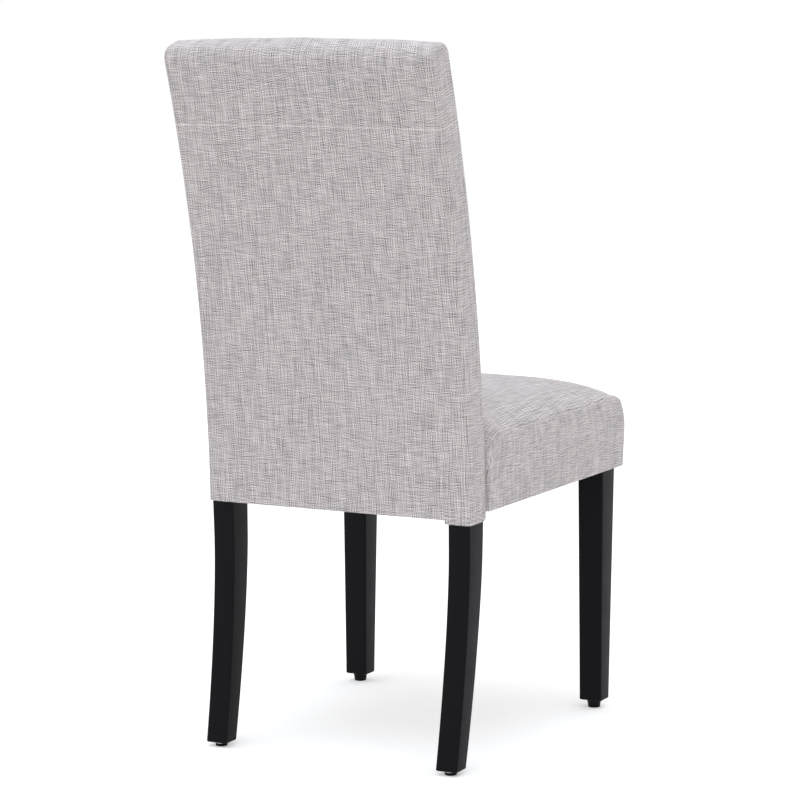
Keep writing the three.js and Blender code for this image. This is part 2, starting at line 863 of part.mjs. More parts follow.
// Block screws: one into the side rail and one into the cross rail at each corner
function screw_places(end) {
  const near = block_reach(end);
  const middle = near - block_thickness / 2;
  const side = block_side_point(end, middle);
  const cross = block_cross_point(end, middle);
  const [low, high] = screw_height_shares.map((share) => block_low() + block_height * share);
  const side_head = new THREE.Vector3(side[0] - screw_hold, side[1], low);
  const cross_head = new THREE.Vector3(cross[0], cross[1] - end * screw_hold, high);
  return [
    { name: "side", at: side_head, toward: new THREE.Vector3(1, 0, 0) },
    { name: "cross", at: cross_head, toward: new THREE.Vector3(0, end, 0) },
  ];
}

function aimed(geometry, at, toward) {
  const turn = new THREE.Quaternion().setFromUnitVectors(new THREE.Vector3(0, 0, 1), toward);
  return geometry.applyQuaternion(turn).translate(at.x, at.y, at.z);
}

function screw_wells(end) {
  return screw_places(end).flatMap(({ at, toward }) => {
    const well = rod(screw_head_radius + fit_gap, -cut_overrun, 0, round_steps);
    const hole = rod(screw_radius + fit_gap, -cut_overrun, cut_overrun, screw_steps);
    return [aimed(well, at, toward), aimed(hole, at, toward)];
  });
}

function screw_holes() {
  return [-1, 1].flatMap((end) => screw_places(end).map(({ at, toward }) => {
    const reach = screw_hold + screw_bite + 3 * fit_gap;
    return aimed(rod(screw_radius + fit_gap, -reach, reach, screw_steps), at, toward);
  }));
}

function block_screw() {
  const tip = screw_hold + screw_bite;
  const profile = [
    [0, -screw_head_height],
    [screw_head_radius * screw_head_flat_share, -screw_head_height],
    [screw_head_radius, -fit_gap],
    [screw_radius, -fit_gap],
    [screw_radius, tip - screw_point],
    [0, tip],
  ];
  return revolve(profile, screw_steps);
}

// Front legs
function leg_ring(height, share, chamfer) {
  const width = front_leg_width + (front_leg_foot_width - front_leg_width) * share - 2 * chamfer;
  const depth = front_leg_depth + (front_leg_foot_depth - front_leg_depth) * share - 2 * chamfer;
  const x = (leg_inner + leg_outer) / 2;
  const y = (leg_front + leg_rear) / 2 + front_leg_foot_rake * share;
  const radius = leg_edge_radius;
  const corners = [[1, 1], [-1, 1], [-1, -1], [1, -1]].map(([side, end]) => {
    return { x: x + side * (width / 2 - radius), y: y + end * (depth / 2 - radius), radius };
  });
  const outline = round_outline(corners, [1, 1, 1, 1]);
  return outline.map((point) => new THREE.Vector3(point.x, point.y, height));
}

function front_leg() {
  const body = loft([
    leg_ring(front_leg_foot_height, 1, leg_foot_chamfer),
    leg_ring(front_leg_foot_height + leg_foot_chamfer, 1, 0),
    leg_ring(seat_hem, 0, 0),
    leg_ring(rail_top, 0, 0),
  ]);
  const [x, y] = front_foot_place();
  const mortises = [side_tenon(fit_gap), front_rail_tenons(fit_gap)];
  const hole = stem_hole(x, y, front_leg_foot_height);
  return cut(body, [...mortises, planed_corner(), leg_bolt_hole(), hole]);
}

function front_foot_place() {
  return [(leg_inner + leg_outer) / 2, (leg_front + leg_rear) / 2 + front_leg_foot_rake];
}

function leg_diagonal() {
  return new THREE.Vector3(Math.SQRT1_2, -Math.SQRT1_2, 0);
}

// A point on the diagonal through the leg's inner corner, inward of the block's near face
function leg_diagonal_point(inward) {
  const corner = new THREE.Vector3(leg_inner, leg_rear, (frame_bottom + rail_top) / 2);
  return corner.addScaledVector(leg_diagonal(), leg_flat - fit_gap - inward);
}

function planed_corner() {
  const half = front_leg_width;
  const at = leg_diagonal_point(0);
  const low = block_low() - fit_gap;
  const slab = block(-half, half, -cut_overrun, fit_gap, low, low + block_height + 2 * fit_gap);
  const diagonal = leg_diagonal();
  return slab.rotateZ(Math.atan2(-diagonal.x, diagonal.y)).translate(at.x, at.y, 0);
}

function leg_bolt_hole() {
  const tail = block_thickness + cut_overrun;
  const hole = rod(leg_bolt_radius + fit_gap, -tail, leg_bolt_grip + fit_gap, screw_steps);
  return aimed(hole, leg_diagonal_point(0), leg_diagonal());
}

function leg_bolt() {
  const tail = block_thickness + leg_washer_thickness + leg_nut_height + leg_bolt_end + 3 * fit_gap;
  return rod(leg_bolt_radius, -tail, leg_bolt_grip);
}

function leg_washer() {
  const bore = leg_bolt_radius + fit_gap;
  return revolve(ring_profile(bore, leg_washer_radius, leg_washer_thickness));
}

function leg_nut() {
  const flats = 6;
  const shape = new THREE.Shape();
  for (let corner = 0; corner < flats; corner += 1) {
    const angle = (corner / flats) * 2 * Math.PI;
    const x = leg_nut_radius * Math.cos(angle);
    const y = leg_nut_radius * Math.sin(angle);
    if (corner === 0) {
      shape.moveTo(x, y);
    } else {
      shape.lineTo(x, y);
    }
  }
  shape.closePath();
  const bore = new THREE.Path();
  bore.absarc(0, 0, leg_bolt_radius + fit_gap, 0, 2 * Math.PI, true);
  shape.holes.push(bore);
  const settings = { depth: leg_nut_height, bevelEnabled: false, curveSegments: flats };
  return new THREE.ExtrudeGeometry(shape, settings);
}

// Woven webbing: a belt's path climbs over every other belt that crosses it
function woven_path(start, end, crossings, first_over) {
  const path = [[start, belt_low]];
  crossings.forEach((centre, order) => {
    const over = (order + first_over) % 2 === 0;
    const level = over ? belt_high : belt_low;
    const half = seat_belt_width / 2 + fit_gap;
    path.push([centre - half - belt_ramp, belt_low]);
    path.push([centre - half, level]);
    path.push([centre + half, level]);
    path.push([centre + half + belt_ramp, belt_low]);
  });
  path.push([end, belt_low]);
  const upper = path.map(([along, z]) => [along, z + belt_thickness]).reverse();
  return [...path, ...upper];
}

// As many even places between two rails as leave each belt its width, two ramps and a rest
function belt_places(low, high, rest) {
  const pitch = seat_belt_width + 2 * (fit_gap + belt_ramp) + rest;
  const spaces = Math.floor((high - low) / pitch);
  return stations_between(low, high, spaces).slice(1, -1);
}

function long_belt_places() {
  const reach = side_rail_x(rear_rail_front, rail_thickness);
  return belt_places(-reach, reach, long_belt_rest);
}

function cross_belt_places() {
  return belt_places(front_rail_rear, rear_rail_front, cross_belt_rest);
}

function long_belt(x, order) {
  const start = front_rail_rear - seat_belt_overlap;
  const end = rear_rail_front + seat_belt_overlap;
  const path = woven_path(start, end, cross_belt_places(), order);
  return extrude_across(path, seat_belt_width / 2).translate(x, 0, 0);
}

function cross_belt(y, order) {
  const reach = side_rail_x(y, rail_thickness - seat_belt_overlap);
  const path = woven_path(-reach, reach, long_belt_places(), order + 1);
  const half = seat_belt_width / 2;
  return extrude_across(path, half).rotateZ(-Math.PI / 2).translate(0, y, 0);
}

// Seat foam and the pad in front of the frame: the part of the padded form in front of y_high
function seat_pad(y_high, z_low, z_high) {
  const reach = seat_front_width;
  const region = block(-reach, reach, seat_front - reach, y_high, z_low, z_high);
  return common(seat_form(cloth_thickness + soft_gap), region);
}

function seat_foam() {
  return seat_pad(seat_rear + seat_depth, foam_bottom, foam_bottom + seat_depth);
}

function seat_front_pad() {
  return seat_pad(leg_front - fit_gap, frame_bottom, foam_bottom - fit_gap);
}

// Cloth cover of the seat: turned in under the rails, open in the middle and round the legs
function seat_cover() {
  const leg = front_leg_blank(fit_gap);
  const open_front = leg_front + hem_turn;
  const open_rear = rear_rail_rear - hem_turn;
  const open_low = seat_hem - cut_overrun;
  const opening = [
    [-side_rail_x(open_front, hem_turn), open_front],
    [side_rail_x(open_front, hem_turn), open_front],
    [side_rail_x(open_rear, hem_turn), open_rear],
    [-side_rail_x(open_rear, hem_turn), open_rear],
  ];
  const tools = [
    seat_form(cloth_thickness),
    extrude_up(opening, open_low, frame_bottom),
    leg,
    mirrored(leg),
    ...bolt_holes(),
  ];
  return cut(seat_form(0), tools);
}

function front_leg_blank(grown) {
  const x_low = leg_inner - grown;
  const x_high = leg_outer + grown;
  const low = seat_hem - cut_overrun;
  return block(x_low, x_high, leg_front - grown, leg_rear + grown, low, frame_bottom);
}

// Thin sheet tacked under the seat frame, notched round the front legs
function dust_cover() {
  const top = seat_hem - fit_gap;
  const rear = rear_rail_rear - dust_inset;
  const front = leg_front + dust_inset;
  const room = dust_notch_room;
  const half = [
    [leg_inner - room, front],
    [leg_inner - room, leg_rear + room],
    [side_rail_x(leg_rear + room, dust_inset), leg_rear + room],
    [side_rail_x(rear, dust_inset), rear],
  ];
  const other = half.map(([x, y]) => [-x, y]).reverse();
  return extrude_up([...half, ...other], top - dust_thickness, top);
}

// Glides: a plug under each leg with a stem up into the wood
function glide(top_radius, foot_radius, height) {
  const top = height - fit_gap;
  return revolve([
    [0, 0],
    [foot_radius - glide_chamfer, 0],
    [foot_radius, glide_chamfer],
    [top_radius, top],
    [glide_stem_radius, top],
    [glide_stem_radius, height + glide_stem_length],
    [0, height + glide_stem_length],
  ]);
}

// Assembly
const chair = new THREE.Group();
const back_unit = new THREE.Group();
const seat_unit = new THREE.Group();
chair.add(back_unit, seat_unit);

const origin = new THREE.Vector3();
const upward = new THREE.Vector3(0, 0, 1);

function place(unit, name, geometry, material, at = origin, toward = upward) {
  const mesh = new THREE.Mesh(geometry, material);
  mesh.name = name;
  mesh.position.copy(at);
  mesh.quaternion.setFromUnitVectors(upward, toward);
  unit.add(mesh);
}

function place_pair(unit, name, geometry, material) {
  place(unit, `${name}_left`, geometry, material);
  place(unit, `${name}_right`, mirrored(geometry), material);
}

place_pair(back_unit, "rear_post", rear_post(), black_lacquer);
place(back_unit, "crest_rail", crest_rail(), pine);
place(back_unit, "back_middle_rail", back_middle_rail(), pine);
place(back_unit, "back_lower_rail", back_lower_rail(), pine);
for (let order = 0; order < back_belt_count; order += 1) {
  place(back_unit, `back_belt_${order + 1}`, back_belt(order), webbing);
}
place(back_unit, "back_foam", back_foam(), foam);
place(back_unit, "back_wadding", back_wadding(), wadding);
place(back_unit, "back_cover", back_cover(), cloth);

place_pair(seat_unit, "front_leg", front_leg(), black_lacquer);
place_pair(seat_unit, "seat_rail", side_rail(), pine);
place(seat_unit, "seat_rail_front", front_rail(), pine);
place(seat_unit, "seat_rail_rear", rear_rail(), pine);
place_pair(seat_unit, "corner_block_front", corner_block(-1), beech);
place_pair(seat_unit, "corner_block_rear", corner_block(1), beech);
long_belt_places().forEach((x, order) => {
  place(seat_unit, `seat_belt_long_${order + 1}`, long_belt(x, order), webbing);
});
cross_belt_places().forEach((y, order) => {
  place(seat_unit, `seat_belt_cross_${order + 1}`, cross_belt(y, order), webbing);
});
place(seat_unit, "seat_foam", seat_foam(), foam);
place(seat_unit, "seat_front_pad", seat_front_pad(), foam);
place(seat_unit, "seat_cover", seat_cover(), cloth);
place(seat_unit, "dust_cover", dust_cover(), black_felt);

// Fasteners and glides, left and right
[-1, 1].forEach((side) => {
  const hand = side > 0 ? "left" : "right";
  const mirror = new THREE.Vector3(side, 1, 1);
  const diagonal = leg_diagonal().multiply(mirror);
  const washer_inward = block_thickness + fit_gap + leg_washer_thickness;
  const nut_inward = washer_inward + fit_gap + leg_nut_height;
  const on_leg = (inward) => leg_diagonal_point(inward).multiply(mirror);
  place(seat_unit, `leg_bolt_${hand}`, leg_bolt(), zinc, on_leg(0), diagonal);
  place(seat_unit, `leg_washer_${hand}`, leg_washer(), zinc, on_leg(washer_inward), diagonal);
  place(seat_unit, `leg_nut_${hand}`, leg_nut(), zinc, on_leg(nut_inward), diagonal);

  [-1, 1].forEach((end) => screw_places(end).forEach(({ name, at, toward }) => {
    const corner = end < 0 ? "front" : "rear";
    const label = `block_screw_${corner}_${name}_${hand}`;
    place(seat_unit, label, block_screw(), zinc, at.multiply(mirror), toward.multiply(mirror));
  }));

  const [front_x, front_y] = front_foot_place();
  const front_glide = glide(front_glide_top_radius, front_glide_foot_radius, front_leg_foot_height);
  const front_foot = new THREE.Vector3(side * front_x, front_y, 0);
  place(seat_unit, `glide_front_${hand}`, front_glide, black_plastic, front_foot);

  const rear_glide = glide(rear_glide_radius, rear_glide_radius, post_foot_height);
  const rear_foot = new THREE.Vector3(side * rear_foot_x(), rear_foot_y(), 0);
  place(back_unit, `glide_rear_${hand}`, rear_glide, black_plastic, rear_foot);
});

seat_bolt_places().forEach(({ x, z }, order) => {
  const rearward = new THREE.Vector3(0, 1, 0);
  const head = new THREE.Vector3(x, rear_rail_front - fit_gap, z);
  const mouth = new THREE.Vector3(x, insert_front(z), z);
  place(seat_unit, `seat_bolt_${order + 1}`, seat_bolt(), zinc, head, rearward);
  place(back_unit, `seat_insert_${order + 1}`, seat_insert(), zinc, mouth, rearward);
});

// The origin is on the floor, under the middle of the chair
const reach = new THREE.Box3().setFromObject(chair, true);
const middle_y = (reach.min.y + reach.max.y) / 2;
chair.position.set(0, -middle_y, -reach.min.z);
chair.updateMatrixWorld(true);

export default chair;
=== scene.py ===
# %% [markdown]
# # An upholstered parsons chair
# The chair is two units: a tall back on two sawn posts, whose lower halves are the rear legs, and
# a boxed seat on two tapered front legs. Linen-look cloth covers both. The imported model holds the
# real sizes, so it is loaded first and everything that shows is built round it, in metres.

import math

import bmesh
import bpy
import numpy as np
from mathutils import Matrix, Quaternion, Vector


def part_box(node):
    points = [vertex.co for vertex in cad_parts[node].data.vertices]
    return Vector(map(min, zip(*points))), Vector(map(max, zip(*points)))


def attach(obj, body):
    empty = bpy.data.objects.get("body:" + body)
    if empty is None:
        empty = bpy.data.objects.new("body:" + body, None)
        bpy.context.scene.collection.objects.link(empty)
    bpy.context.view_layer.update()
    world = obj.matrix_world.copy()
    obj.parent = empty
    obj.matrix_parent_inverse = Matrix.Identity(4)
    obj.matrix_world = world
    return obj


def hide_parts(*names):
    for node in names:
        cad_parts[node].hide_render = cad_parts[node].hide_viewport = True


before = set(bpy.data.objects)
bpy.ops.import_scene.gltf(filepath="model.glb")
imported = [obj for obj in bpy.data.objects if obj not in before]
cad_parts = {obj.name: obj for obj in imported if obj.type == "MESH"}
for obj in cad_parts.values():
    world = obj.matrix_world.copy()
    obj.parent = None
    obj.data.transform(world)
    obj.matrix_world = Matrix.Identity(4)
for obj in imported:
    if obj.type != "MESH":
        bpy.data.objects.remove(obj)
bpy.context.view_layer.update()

# %% [markdown]
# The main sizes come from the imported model's own boxes. A few that a box can't tell, such as how
# far the back leans, are named here once.

# %% Sizes
cloth_low, cloth_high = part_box("seat_cover")
sleeve_low, sleeve_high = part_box("back_cover")
post_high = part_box("rear_post_left")[1]
leg_low, leg_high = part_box("front_leg_left")

boot_drop = 0.0055
hem_height = sleeve_low.z + boot_drop
seat_hem = cloth_low.z
seat_front = cloth_low.y
seat_depth = 0.436
seat_rear = seat_front + seat_depth
back_width = sleeve_high.x - sleeve_low.x
back_thickness = 0.050
back_height = 0.649
back_rake = 0.095
units_gap = 0.0003
back_line = seat_rear + units_gap + back_thickness / 2
back_crown = 0.005
back_lift = 0.003
back_crown_power = 6
print("hems at", round(hem_height, 4), "and", round(seat_hem, 4))
print("the seat reaches from", round(seat_front, 4), "to", round(seat_rear, 4))

# %% [markdown]
# A camera far away with a long lens keeps the chair's edges nearly parallel, as a product
# photographer would have it. It stands behind the chair on the sitter's right, a little higher than
# the top of the back, and looks down at a point in the middle of the chair. The pose is worked out
# from two angles, a distance and a small roll, so each can be corrected by itself.

# %% Camera
camera_azimuth = math.radians(208.85)
camera_elevation = math.radians(8.61)
camera_roll = math.radians(-0.92)
camera_distance = 4.4405
camera_lens = 145.1
sensor_width = 36
aim_point = Vector((-0.0769, seat_rear + 0.0034, 0.5017))

backward = Vector((
    math.sin(camera_azimuth) * math.cos(camera_elevation),
    -math.cos(camera_azimuth) * math.cos(camera_elevation),
    math.sin(camera_elevation),
))
camera = bpy.data.objects.new("camera", bpy.data.cameras.new("camera"))
bpy.context.scene.collection.objects.link(camera)
camera.data.lens = camera_lens
camera.data.sensor_width = sensor_width
camera.location = aim_point + backward * camera_distance
camera.rotation_mode = "QUATERNION"
level_view = (-backward).to_track_quat("-Z", "Y")
camera.rotation_quaternion = level_view @ Quaternion((0, 0, 1), camera_roll)
bpy.context.scene.camera = camera
print("the camera stands at", [round(v, 3) for v in camera.location])

# %% [markdown]
# Every new surface is a grid of points: rows up the piece and columns round it. One function turns
# such a grid into a mesh. Cloth also needs to know where each point lies on the flat cloth, in
# metres, so that the weave follows the surface. That place is kept in a UV map, and a face may
# take it from a second panel, as it does on the far side of a seam. Points that meet are merged, so
# any number that belongs to a point is stored in the mesh before that and read back after it.

# %% Grids to meshes
weave_map = "weave"
merging_distance = 1e-6
cloth_merging_distance = 1e-5
sharp_edge = math.radians(35)


def grid_faces(rows, columns, wrap):
    """Corner numbers of the quads of a grid, counterclockwise from outside: along, then up."""
    row, column = np.meshgrid(np.arange(rows - 1), np.arange(columns - (not wrap)), indexing="ij")
    after = (column + 1) % columns
    corners = (row * columns + column, row * columns + after)
    upper = ((row + 1) * columns + after, (row + 1) * columns + column)
    return np.stack([*corners, *upper], axis=-1)


def face_places(places):
    """Places on the cloth, one per point, dealt to the corners of the faces between them. A closed
    grid has one more column of places, where the cloth comes round to its start."""
    lower, upper = places[:-1], places[1:]
    return np.stack([lower[:, :-1], lower[:, 1:], upper[:, 1:], upper[:, :-1]], axis=2)


def mesh_object(name, points, faces, places=None, distance=merging_distance, **values):
    """A mesh object from points and faces. Cloth also has each face corner's place on the flat cloth,
    and numbers per point, each stored under its name."""
    mesh = bpy.data.meshes.new(name)
    mesh.from_pydata(np.reshape(points, (-1, 3)).tolist(), [], np.reshape(faces, (-1, 4)).tolist())
    if places is not None:
        layer = mesh.uv_layers.new(name=weave_map)
        layer.data.foreach_set("uv", np.ascontiguousarray(places, dtype=np.float32).ravel())
    for label, numbers in values.items():
        store = mesh.attributes.new(label, "FLOAT", "POINT")
        store.data.foreach_set("value", np.ascontiguousarray(numbers, dtype=np.float32).ravel())
    merge_points(mesh, distance)
    mesh.shade_smooth()
    piece = bpy.data.objects.new(name, mesh)
    bpy.context.scene.collection.objects.link(piece)
    return piece


def merge_points(mesh, distance):
    """Points that meet become one, and faces that shrink to nothing there go."""
    shape = bmesh.new()
    shape.from_mesh(mesh)
    bmesh.ops.remove_doubles(shape, verts=shape.verts, dist=distance)
    bmesh.ops.dissolve_degenerate(shape, dist=distance, edges=shape.edges)
    shape.to_mesh(mesh)
    shape.free()


def shade_by_angle(piece):
    """Smooth shading that stops at edges sharper than the angle."""
    piece.data.set_sharp_from_angle(angle=sharp_edge)


# %% [markdown]
# The outline of the back and of the seat is a box with round corners. Both are drawn the same
# way: four corner arcs joined by straight sides, always with the same number of points, so that
# outlines of different sizes can be stacked into a wall.

# %% Round-cornered outlines
corner_points = 6


def between(start, end, count):
    """Even values from start to end, the end left out."""
    return np.linspace(start, end, count, endpoint=False)


def box_corners(half_x, half_y, radius):
    """Each row's four corners about the origin, rear +x first and counterclockwise from above: a
    corner's centre lies the radius inside both sides."""
    signs = ((1, 1), (-1, 1), (-1, -1), (1, -1))
    return np.stack([
        np.stack(np.broadcast_arrays(sx * (half_x - radius), sy * (half_y - radius), radius), axis=-1)
        for sx, sy in signs
    ])


def round_outline(corners, side_shares):
    """Outlines for many rows at once. Corners is (4, rows, 3) with each corner's x, y and radius. A
    corner's points are its centre plus radius times (cos, sin) over a quarter turn, and a side's
    points lie at the given shares of the straight line to the next corner."""
    pieces = []
    for quarter in range(4):
        here, after = corners[quarter], corners[(quarter + 1) % 4]
        turn = (quarter + between(0, 1, corner_points)[None, :]) * (math.pi / 2)
        x = here[:, 0:1] + here[:, 2:3] * np.cos(turn)
        y = here[:, 1:2] + here[:, 2:3] * np.sin(turn)
        pieces.append(np.stack([x, y], axis=-1))
        edge = (quarter + 1) * math.pi / 2
        aim = np.array([math.cos(edge), math.sin(edge)])
        start = (here[:, :2] + here[:, 2:3] * aim)[:, None, :]
        end = (after[:, :2] + after[:, 2:3] * aim)[:, None, :]
        pieces.append(start + (end - start) * side_shares[quarter][None, :, None])
    return np.concatenate(pieces, axis=1)


def lengths_along(points):
    """Distance walked from the first row of points to each of the others, column by column."""
    steps = np.linalg.norm(np.diff(points, axis=0), axis=-1)
    return np.concatenate([0 * steps[:1], np.cumsum(steps, axis=0)])


def lengths_round(outline):
    """Distance walked round an outline to each point, with the whole way round as the last."""
    return lengths_along(np.concatenate([outline, outline[:1]]))


def curve_through(knots, values, at):
    """A smooth curve through values at knots: cubic pieces that meet with the same slope."""
    knots, values = np.asarray(knots, float), np.asarray(values, float)
    slopes = np.gradient(values, knots)
    index = np.clip(np.searchsorted(knots, at, side="right") - 1, 0, len(knots) - 2)
    width = knots[index + 1] - knots[index]
    t = (at - knots[index]) / width
    start = (1 + 2 * t) * (1 - t) ** 2 * values[index] + t * (1 - t) ** 2 * width * slopes[index]
    end = t * t * (3 - 2 * t) * values[index + 1] + t * t * (t - 1) * width * slopes[index + 1]
    return start + end


def smooth(share):
    """0 below 0, 1 above 1, and an even S between."""
    held = np.clip(share, 0, 1)
    return held * held * (3 - 2 * held)


# %% [markdown]
# The back follows a curved centre line that leans further the higher it goes. A place on it is a
# station, the height where it starts from the line, and an offset square to the line, forward
# negative. The sleeve's wall is one outline at every station, the top edge is the same outline
# drawn in as it rolls over, and a last few rows close it along the middle.

# %% Shape of the back
back_corner_radius = 0.006
back_roll_radius = 0.020
side_roll_radius = 0.010
back_least_radius = 0.0015
hem_roll = 0.0015
rim_width = 0.0034
post_width = 0.033
back_side_count = 66
back_edge_count = 6
back_row_count = 104
hem_turn_count = 6
roll_turn_count = 12


def back_point(station, offset):
    """Y and Z of a place on the back: the centre line is a parabola, and the offset is square to it."""
    share = np.maximum(station - hem_height, 0) / back_height
    lean = np.arctan(2 * back_rake * share / back_height)
    y = back_line + back_rake * share**2 + offset * np.cos(lean)
    return y, station - offset * np.sin(lean)


def back_corners(side_inset, inset):
    """The four corners of the back's outline, drawn in by one inset at the sides and another in front
    and behind."""
    radius = np.maximum(back_corner_radius - np.minimum(side_inset, inset), back_least_radius)
    half_x, half_y = back_width / 2 - side_inset, back_thickness / 2 - inset
    half_y = np.maximum(half_y, radius)
    return box_corners(half_x, half_y, radius)


quarter_turn = np.linspace(0, math.pi / 2, hem_turn_count)
roll_turn = np.linspace(0, math.pi / 2, roll_turn_count)[1:]
wall_top = hem_height + back_height - back_roll_radius
rim_insets = np.array([rim_width, (rim_width + hem_roll) / 2])
round_insets = hem_roll * (1 - np.sin(quarter_turn))
round_stations = hem_height + hem_roll * (1 - np.cos(quarter_turn))
wall_stations = np.linspace(hem_height + hem_roll, wall_top, back_row_count)[1:]
roll_insets = back_roll_radius * (1 - np.cos(roll_turn))
roll_stations = wall_top + back_roll_radius * np.sin(roll_turn)
side_rise = roll_stations - wall_top - back_roll_radius + side_roll_radius
side_turn = np.arcsin(np.clip(side_rise / side_roll_radius, 0, 1))
side_roll_insets = side_roll_radius * (1 - np.cos(side_turn))
back_insets = np.concatenate([rim_insets, round_insets, 0 * wall_stations, roll_insets])
side_insets = np.concatenate([rim_insets, round_insets, 0 * wall_stations, side_roll_insets])
back_stations = np.concatenate([hem_height + 0 * rim_insets, round_stations, wall_stations, roll_stations])

boot_inner = -(post_high.x - post_width - rim_width)
boot_edge_width = 0.0008
side_shares = between(0, 1, back_side_count)
straight = back_width - 2 * back_corner_radius
boot_shares = (straight / 2 - boot_inner + np.array([-1, 0, 1]) * boot_edge_width) / straight
rear_shares = np.sort(np.append(side_shares, boot_shares))
edge_shares = between(0, 1, back_edge_count)
back_sides = [rear_shares, edge_shares, side_shares, edge_shares]
back_plan = round_outline(back_corners(side_insets, back_insets), back_sides)
print("the back's grid has", back_plan.shape[0], "rows of", back_plan.shape[1], "points")

# %% [markdown]
# The rows above are now bent along the centre line. Three things make it the real sleeve and not
# a box: the top edge is crowned, the cloth is turned down in a short boot round the sitter's right
# rear leg, and the last rows roll over the top and meet along its middle.

# %% The sleeve's surface
boot_reach = 0.014
boot_slant = 0.008
closing_shares = np.array([2 / 3, 1 / 3, 0])

closing = np.stack([back_plan[-1] * [1, share] for share in closing_shares])
sleeve_plan = np.concatenate([back_plan, closing])
sleeve_stations = np.concatenate([back_stations, back_stations[-1] + 0 * closing_shares])
first_wall_row = len(rim_insets) + len(quarter_turn) - 1
last_wall_row = first_wall_row + len(wall_stations)
wall_outline = back_plan[first_wall_row]


def boot_depth(outline):
    """How far the cloth comes down at each point of the outline: full round the post, nothing
    elsewhere, in a sharp step behind and a short slant in front."""
    behind = np.clip((boot_inner - outline[:, 0]) / boot_edge_width + 0.5, 0, 1)
    ahead = np.clip((outline[:, 1] + back_thickness / 2) / boot_slant, 0, 1)
    return boot_drop * behind * ahead


def sleeve_surface(plan, stations, drop):
    """X is the outline's own. Y and Z come from its second coordinate as an offset from the centre
    line, plus the lift of the padding at the top, less its fall towards the sides and the boot's drop."""
    share = np.maximum(stations - hem_height, 0)[:, None] / back_height
    fade = smooth(1 - (stations - hem_height) / boot_reach)[:, None]
    y, z = back_point(stations[:, None], plan[:, :, 1])
    rise = (back_lift - back_crown * (plan[:, :, 0] / (back_width / 2)) ** 2) * share**back_crown_power
    return np.stack([plan[:, :, 0], y, z + rise - drop[None, :] * fade], axis=-1)


sleeve_points = sleeve_surface(sleeve_plan, sleeve_stations, boot_depth(wall_outline))
sleeve_heights = sleeve_points[..., 2]
print("the sleeve reaches from", sleeve_heights.min().round(4), "to", sleeve_heights.max().round(4))

# %% [markdown]
# On the real cover one piece of cloth goes round the back, the sides and over the top, and a front
# panel is sewn to it along the front corners and the front top edge. The weave therefore runs on
# without a break everywhere the photograph shows, and the join is where a maker would put it.

# %% Where the sleeve's cloth lies flat
starts = np.cumsum([0] + [n for side in back_sides for n in (corner_points, len(side))])
half_corner = corner_points // 2
right_seam_column = starts[4] + half_corner
left_seam_column = starts[6] + half_corner
column_count = sleeve_plan.shape[1]
columns = np.arange(column_count + 1)

walked = lengths_round(wall_outline)
rear_middle = walked[starts[1]] + straight / 2
front_middle = walked[starts[5]] + straight / 2
climbed = lengths_along(sleeve_points)[:, starts[1] + back_side_count // 2]
across = walked - rear_middle
across = np.where(columns > (right_seam_column + left_seam_column) // 2, across - walked[-1], across)
row_count = len(sleeve_stations)


def panel_places(u, v):
    """A place on the cloth for every grid point, from one u per column and one v per row."""
    return np.stack(np.broadcast_arrays(u[None, :], v[:, None]), axis=-1)


wrapped = face_places(panel_places(across, climbed))
front_panel = face_places(panel_places(walked - front_middle, climbed))
over_top = face_places(panel_places(front_middle - walked, 2 * climbed[-1] - climbed))
face_column = np.arange(column_count)[None, :]
face_row = np.arange(row_count - 1)[:, None]
in_front = (face_column >= right_seam_column) & (face_column < left_seam_column)
sleeve_places = np.where((in_front & (face_row < last_wall_row))[..., None, None], front_panel, wrapped)
sleeve_places = np.where((in_front & (face_row >= last_wall_row))[..., None, None], over_top, sleeve_places)
print("the cloth goes", round(walked[-1], 3), "m round the back and", round(2 * climbed[-1], 3), "m over it")

# %% [markdown]
# The seat is a box of cloth: a boxing strip all round and a top panel sewn to it. The strip is
# tucked in at the hem, bulges over the foam and draws in towards the seam. Its outlines are
# stacked like the back's, with the insets given as smooth curves over the wall's height.

# %% Shape of the seat's boxing
seat_rear_width = 0.426
seat_front_width = cloth_high.x - cloth_low.x
seat_side_height = 0.105
seat_side_bulge = 0.0012
seat_front_bulge = 0.0115
seat_side_draw = 0.002
seat_hem_radius = 0.0175
seat_front_radius = 0.028
seat_rear_radius = 0.016
seam_front_dip = 0.0045
seam_rear_dip = 0.022
front_dip_share = 0.2
rear_dip_share = 0.11
joint_gap = 0.0004
wall_knots = [0, 0.14, 0.4, 0.65, 0.82, 0.93, 1]
side_inset_shares = [1, 0.85, 0.35, 0, 0.1, 0.5, 1.1]
front_inset_shares = [1, 0.92, 0.42, 0, 0.25, 0.75, 1.4]
radius_shares = [0.3, 0.3, 0.35, 0.55, 0.8, 0.95, 1]
draw_shares = [0, 0, 0, 0.2, 0.6, 0.9, 1]
front_corner_share = 0.9
seam_steps = np.array([0.0065, 0.0035, 0.0018, 0.0008, 0])
seat_row_count = 18
seat_long_count = 66
seat_short_count = 58


def seat_half_width(y):
    """Half the seat's width, which grows evenly from the rear to the front."""
    share = (seat_rear - y) / seat_depth
    return (seat_rear_width + (seat_front_width - seat_rear_width) * share) / 2


def seam_dip(y):
    """How far the seam falls below its full height: squared over a stretch at either end."""
    share = (seat_rear - y) / seat_depth
    ahead = np.maximum(share - 1 + front_dip_share, 0) / front_dip_share
    behind = np.maximum(rear_dip_share - share, 0) / rear_dip_share
    return seam_front_dip * ahead**2 + seam_rear_dip * behind**2


